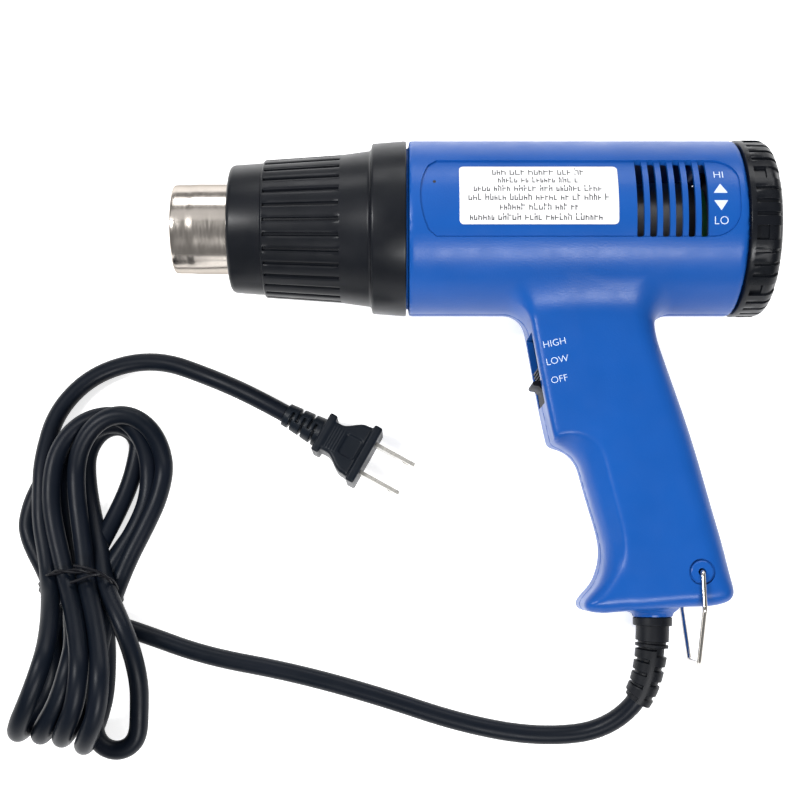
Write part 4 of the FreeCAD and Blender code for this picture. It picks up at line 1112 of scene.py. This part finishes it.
# Loops above the tie: the widest x and its y on the left, the crown, the widest x and its y on the
# right, and the height of the left leg, the crown and the right leg.
TOP_LOOPS = {
    "D": ((-174.9, -44.0), (-142.5, -4.6), (-122.6, -27.0), (3.6, 3.6, 3.6), 1.25),
    "A": ((-154.0, -27.0), (-136.0, -4.0), (-119.3, -25.0), (14.0, 20.0, 12.5), 1.0),
    "C": ((-152.4, -21.5), (-140.9, -5.8), (-131.7, -15.0), (3.6, 3.6, 3.6), 1.0),
    "B": ((-163.3, -28.0), (-142.0, -3.2), (-126.0, -25.0), (14.4, 14.4, 9.5), 1.0),
    "E": ((-159.5, -30.0), (-141.0, -5.6), (-125.6, -25.0), (3.8, 9.0, 3.6), 1.0),
}
# How far each leg bows to the right on its way between the tie and its widest place.
LEFT_BOW = {"D": 0.0, "A": 0.4, "C": 0.3, "B": -1.0, "E": 0.0}
RIGHT_BOW = {"D": 0.2, "A": -0.2, "C": -0.6, "B": 2.6, "E": 2.4}
# Loops below the tie stand on edge: x of the upper strand at two stations and where its turn starts,
# the tip, x of the lower strand, half the loop's height and how sharply the turn leans to the tip.
BOTTOM_STATIONS = (0.34, 0.70)      # shares of the way from the tie to the start of the turn
BOTTOM_LOOPS = {
    "b1": ((-158.2, -156.6, -157.1), (-169.3, -124.6), -160.5, 17.6, 1.4),
    "b2": ((-151.4, -148.0, -148.4), (-161.6, -125.6), -154.0, 15.0, 1.8),
    "b3": ((-149.5, -145.3, -143.3), (-152.9, -126.6), -147.5, 17.7, 2.7),
    "b4": ((-141.8, -137.6, -135.6), (-144.6, -129.2), -140.6, 17.7, 3.0),
}
TURN_LENGTHS = (19.0, 24.0)
ORDER = [("D", "b4"), ("A", "b5"), ("C", "b3"), ("B", "b2"), ("E", "b1")]


def ease(t):
    """From 0 to 1, as a strand leaves the tie and spreads."""
    return (t * t * (3 - 2 * t) + math.sin(math.pi / 2 * t)) / 2


def leg(slot, widest, height, bow=0.0, steps=4):
    """Points from a slot at the tie up to the widest place of a loop, without the last."""
    points = []
    for step in range(steps):
        t = step / steps
        x = slot[0] + (widest[0] - slot[0]) * ease(t) + bow * 4 * t * (1 - t)
        y = WAIST_Y + (widest[1] - WAIST_Y) * t
        z = slot[1] + (height - slot[1]) * ease(min(1.0, 1.4 * t))
        points.append((x, y, z))
    return points


def crown(left, top, right, heights, power, steps=8):
    """Points over the top of a loop, from its widest place on the left to that on the right."""
    points = []
    for step in range(steps + 1):
        angle = math.pi * (1 - step / steps)
        across, up = math.cos(angle), math.sin(angle)
        side, side_z = (left, heights[0]) if across < 0 else (right, heights[2])
        reach = abs(across) ** power
        rise = up ** power
        x = top[0] + (side[0] - top[0]) * reach
        y = side[1] + (top[1] - side[1]) * rise
        z = heights[1] + (side_z - heights[1]) * (1 - up)
        points.append((x, y, z))
    return points


def top_loop(name, left_slot):
    """One loop above the tie, from the tie up the left, over the crown and down the right."""
    left, top, right, heights, power = TOP_LOOPS[name]
    down = leg(RIGHT_SLOTS[name], right, heights[2], RIGHT_BOW[name])
    up = leg(left_slot, left, heights[0], LEFT_BOW[name])
    return up + crown(left, top, right, heights, power) + down[::-1]


def standing_loop(name):
    """One loop below the tie that stands on edge: out along the floor, back along its top."""
    stations, tip, low_x, radius, lean = BOTTOM_LOOPS[name]
    out = [(low_x, -84.0, 11.5), (low_x, -94.0, 5.0)]
    turn = []
    steps = 6
    for step in range(steps + 1):
        angle = math.pi * (step / steps - 0.5)
        share = max(0.0, math.cos(angle))
        if angle < 0:
            length, base_x, power = TURN_LENGTHS[0], low_x, 1.25
        else:
            length, base_x, power = TURN_LENGTHS[1], stations[-1], lean
        x = base_x + (tip[0] - base_x) * share ** power
        y = tip[1] + length * (1 - 1.05 * share)
        turn.append((x, y, FLOOR_Z + radius * (1 + math.sin(angle))))
    turn_y, turn_z = turn[-1][1:]
    back = [(x, WAIST_Y + (turn_y - WAIST_Y) * share, turn_z - drop)
            for x, share, drop in zip(stations, BOTTOM_STATIONS, (13.5, 5.5))]
    return out + turn + back[::-1]


def open_loop():
    """The last loop on the right below the tie lies open: out under the others, back above them."""
    return [(-140.4, -84.0, 12.4), (-143.0, -98.0, 10.8), (-143.6, -111.0, 10.6), (-143.2, -119.0, 10.2),
            (-142.8, -126.2, 9.8), (-139.6, -130.6, 9.8), (-134.3, -132.3, 9.8), (-129.1, -130.6, 10.4),
            (-125.9, -126.2, 11.8), (-125.4, -117.0, 14.4), (-125.2, -107.5, 17.5),
            (-127.4, -96.5, 21.0), (-132.0, -85.0, 22.6)]


def hank_points():
    points = [(-139.0, -84.2, FLOOR_Z), (-150.0, -79.3, FLOOR_Z), (-158.5, -73.5, FLOOR_Z)]
    slot = SLOT_LEAD
    for top, bottom in ORDER:
        points += top_loop(top, slot)
        points += open_loop() if bottom == "b5" else standing_loop(bottom)
        slot = UPPER_SLOTS[bottom]
    points += [(slot[0], WAIST_Y, slot[1]), (-164.0, -58.0, 12.4), (-167.2, -46.0, 11.2)]
    return [tuple(v * MM for v in point) for point in points]


def make_cord():
    curve = bpy.data.curves.new("cord", "CURVE")
    curve.dimensions = "3D"
    curve.bevel_depth = CORD_R
    curve.bevel_resolution = 8
    curve.use_fill_caps = True
    points = LEAD_ROUTE + hank_points() + TAIL_ROUTE
    spline = curve.splines.new("NURBS")
    spline.points.add(len(points) - 1)
    for point, place in zip(spline.points, points):
        point.co = (*place, 1.0)
    spline.order_u = 3
    spline.use_endpoint_u = True
    spline.resolution_u = 8
    cord = bpy.data.objects.new("cord", curve)
    bpy.context.scene.collection.objects.link(cord)
    curve.materials.append(FINISH["cord_rubber"])
    return cord


# ---- What is on the lead -------------------------------------------------------------------------
def lead_path(steps=90):
    """The first stretch of the lead's curve in millimetres: one clamped quadratic span and a half."""
    p = [Vector(point) / MM for point in LEAD_ROUTE[:4]]
    path = []
    for step in range(steps + 1):
        t = step / steps
        path.append(p[0] * (1 - t) ** 2 + p[1] * (2 * t - 1.5 * t * t) + p[2] * (0.5 * t * t))
    for step in range(1, steps // 2):
        t = step / steps
        path.append(p[1] * (0.5 * (1 - t) ** 2) + p[2] * (0.5 + t - t * t) + p[3] * (0.5 * t * t))
    return path


BOOT_NECK = 9.0
BOOT_LENGTH = 32.2
BOOT_CORE_R = 4.85
LEFT_TEETH = [13.8 + 4.8 * n for n in range(5)]
RIGHT_TEETH = [15.9 + 5.15 * n for n in range(4)]
TOOTH_HALF = 1.85


def boot_radius(distance, angle):
    """Collar, plain body, then teeth that stand in turn on the left and on the right."""
    s = distance - BOOT_NECK
    if s < -0.1:
        return 5.9
    if s < 3.2:
        return 7.35 - 0.4 * smooth_step(0.35, 0.0, min(s + 0.1, 3.3 - s))
    body = 6.25 if s < 8.8 or 9.9 < s < 11.2 else 5.3
    tooth_r = 6.35 - 0.022 * s
    near_left, near_right = math.sin(angle) > -0.22, math.sin(angle) < 0.22
    reach = 0.0
    for teeth, here in ((LEFT_TEETH, near_left), (RIGHT_TEETH, near_right)):
        if here:
            away = min(abs(s - place) for place in teeth if place < BOOT_LENGTH)
            reach = max(reach, 1 - smooth_step(TOOTH_HALF - 0.2, TOOTH_HALF + 0.1, away))
    if s < 11.2:
        return max(body, BOOT_CORE_R)
    if s > BOOT_LENGTH - 0.4:
        return 4.1
    return BOOT_CORE_R + (tooth_r - BOOT_CORE_R) * reach


def make_boot():
    path = lead_path()
    down = (path[1] - path[0]).normalized()
    back = [path[0] - down * (BOOT_NECK - n) for n in np.arange(0, BOOT_NECK, 1.0)]
    fine = []
    whole = back + path
    step = 0.25
    reached, wanted = 0.0, 0.0
    for a, b in zip(whole, whole[1:]):
        run = (b - a).length
        while wanted <= reached + run and wanted <= BOOT_NECK + BOOT_LENGTH:
            fine.append(a.lerp(b, (wanted - reached) / run))
            wanted += step
        reached += run
    show("boot", swept("boot", fine, boot_radius, 72), "boot_rubber", nodes=["cord_boot"], place=ROW,
         crease=35.0)


PLUG_ENTRY = Vector((-71.8, -2.2, 9.0))
PLUG_DIR = Vector((0.875, -0.485, 0)).normalized()
RELIEF_LENGTH = 16.0
PLUG_LENGTH = 37.0
PLUG_CELL = 0.34


def slab_field(s, w, u, s0, s1, half_w, half_u, edge):
    """Distance to a block of the plug, rounded along the plug's axis and at its ends."""
    flat = round_box(np.abs(s - (s0 + s1) / 2) - (s1 - s0) / 2 + edge, np.abs(w) - half_w + edge, edge)
    return round_box(flat + edge, np.abs(u) - half_u + edge, edge)


def plug_field(s, w, u):
    rho = np.hypot(w, u)
    sleeve_r = 4.7 + 1.5 * np.clip(s / RELIEF_LENGTH, 0, 1)
    sleeve = np.maximum(rho - sleeve_r, np.abs(s - RELIEF_LENGTH / 2) - RELIEF_LENGTH / 2 - 0.6)
    for number, place in enumerate((2.6, 5.2, 7.8, 10.4, 13.0)):
        side = 1 if number % 2 else -1
        slot = np.maximum(np.abs(s - place) - 0.55, np.maximum(sleeve_r - 1.5 - rho, -1.6 - side * w))
        sleeve = np.maximum(sleeve, -slot)
    rear = slab_field(s, w, u, 15.6, 18.9, 8.3, 7.0, 0.8)
    swell = 6.3 + 4.5 * smooth_step(21.5, 30.5, s) + 0.4 * smooth_step(30.5, 34.0, s)
    edge = 1.5
    bell = round_box(np.abs(w) - swell + edge, np.abs(u) - 6.5 + edge, edge)
    bell = np.maximum(bell, np.abs(s - 26.5) - 8.5)
    ridges = 0.16 * np.cos((s - 22.2) * 2 * math.pi / 1.15) * (np.abs(s - 22.2) < 2.6) * (np.abs(w) < 4.9)
    bell = bell - ridges * (np.abs(u) > 5.5)
    pad = slab_field(s, w, u * 0, 25.6, 32.4, 4.3, 9.0, 1.2)
    bell = np.maximum(bell, -np.maximum(pad, 5.95 - np.abs(u)))
    front = slab_field(s, w, u, PLUG_LENGTH - 3.6, PLUG_LENGTH, 12.3, 8.4, 0.8)
    body = round_union(round_union(rear, bell, 0.8), front, 0.8)
    return np.minimum(sleeve, body)


def make_plug():
    low = (-1.4, -13.4, -9.4)
    s = np.arange(low[0], 38.4, PLUG_CELL)[:, None, None]
    w = np.arange(low[1], 13.4, PLUG_CELL)[None, :, None]
    u = np.arange(low[2], 9.5, PLUG_CELL)[None, None, :]
    mesh = surface_of("plug", plug_field(s, w, u), low, PLUG_CELL)
    side = Vector((-PLUG_DIR.y, PLUG_DIR.x, 0))
    place = Matrix((PLUG_DIR, side, Vector((0, 0, 1)))).transposed().to_4x4()
    mesh.transform(Matrix.Translation(PLUG_ENTRY) @ place)
    show("plug", mesh, "plug_plastic", nodes=["plug_body"], place=ROW, crease=38.0)


TIE_OVER = [(-152.0, -75.0, 1.05), (-164.0, -74.0, 1.05), (-167.4, -72.6, 1.6), (-167.4, -70.8, 7.0),
            (-165.6, -68.8, 13.0), (-162.4, -66.9, 17.5),
            (-158.1, -65.6, 20.8), (-152.3, -65.3, 22.4), (-146.0, -65.6, 23.4), (-141.0, -66.6, 23.6),
            (-137.5, -68.1, 21.6), (-135.9, -70.7, 15.0), (-135.2, -73.8, 8.0), (-136.4, -75.7, 1.6),
            (-140.0, -75.8, 1.05), (-152.0, -75.0, 1.05)]
TIE_ENDS = [
    [(-137.4, -68.4, 21.8), (-140.1, -66.3, 24.4), (-143.0, -65.2, 25.0), (-146.9, -64.1, 25.0),
     (-150.6, -63.5, 23.8)],
    [(-140.5, -66.7, 24.4), (-144.1, -67.3, 25.0), (-148.0, -68.9, 24.4), (-151.5, -69.9, 23.8)],
]
TIE_WIRE_R = 0.5
TIE_TWIST = 16.0        # length of one turn of the twist


def twisted_pair(name, corners):
    """Two strands wound round each other along a route."""
    path = chaikin(corners, 4)
    strands = []
    for phase in (0.0, math.pi):
        route, distance = [], 0.0
        for index, (place, (_, up, side)) in enumerate(zip(path, frames_along(path))):
            if index:
                distance += (place - path[index - 1]).length
            angle = phase + 2 * math.pi * distance / TIE_TWIST
            route.append(place + (up * math.cos(angle) + side * math.sin(angle)) * TIE_WIRE_R)
        strands.append(swept(name, route, TIE_WIRE_R, 10))
    return strands


def make_tie():
    strands = twisted_pair("tie", TIE_OVER)
    for end in TIE_ENDS:
        strands.append(swept("tie_end", chaikin(end, 3), TIE_WIRE_R * 1.15, 10))
    show("tie", joined("tie", strands), "tie_plastic", nodes=["twist_tie"], place=ROW)


# ---- The whole scene -----------------------------------------------------------------------------
make_camera()
make_light()
make_floor()
finish_cad_nodes()
make_housing()
make_pivot_bosses()
make_nozzle()
make_shield()
make_dial()
make_label()
make_label_print()
make_marks()
make_slider()
make_boot()
make_plug()
make_tie()
cord = make_cord()
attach(cord, "root")
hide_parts("cord_lead", "cord_hank", "cord_tail")
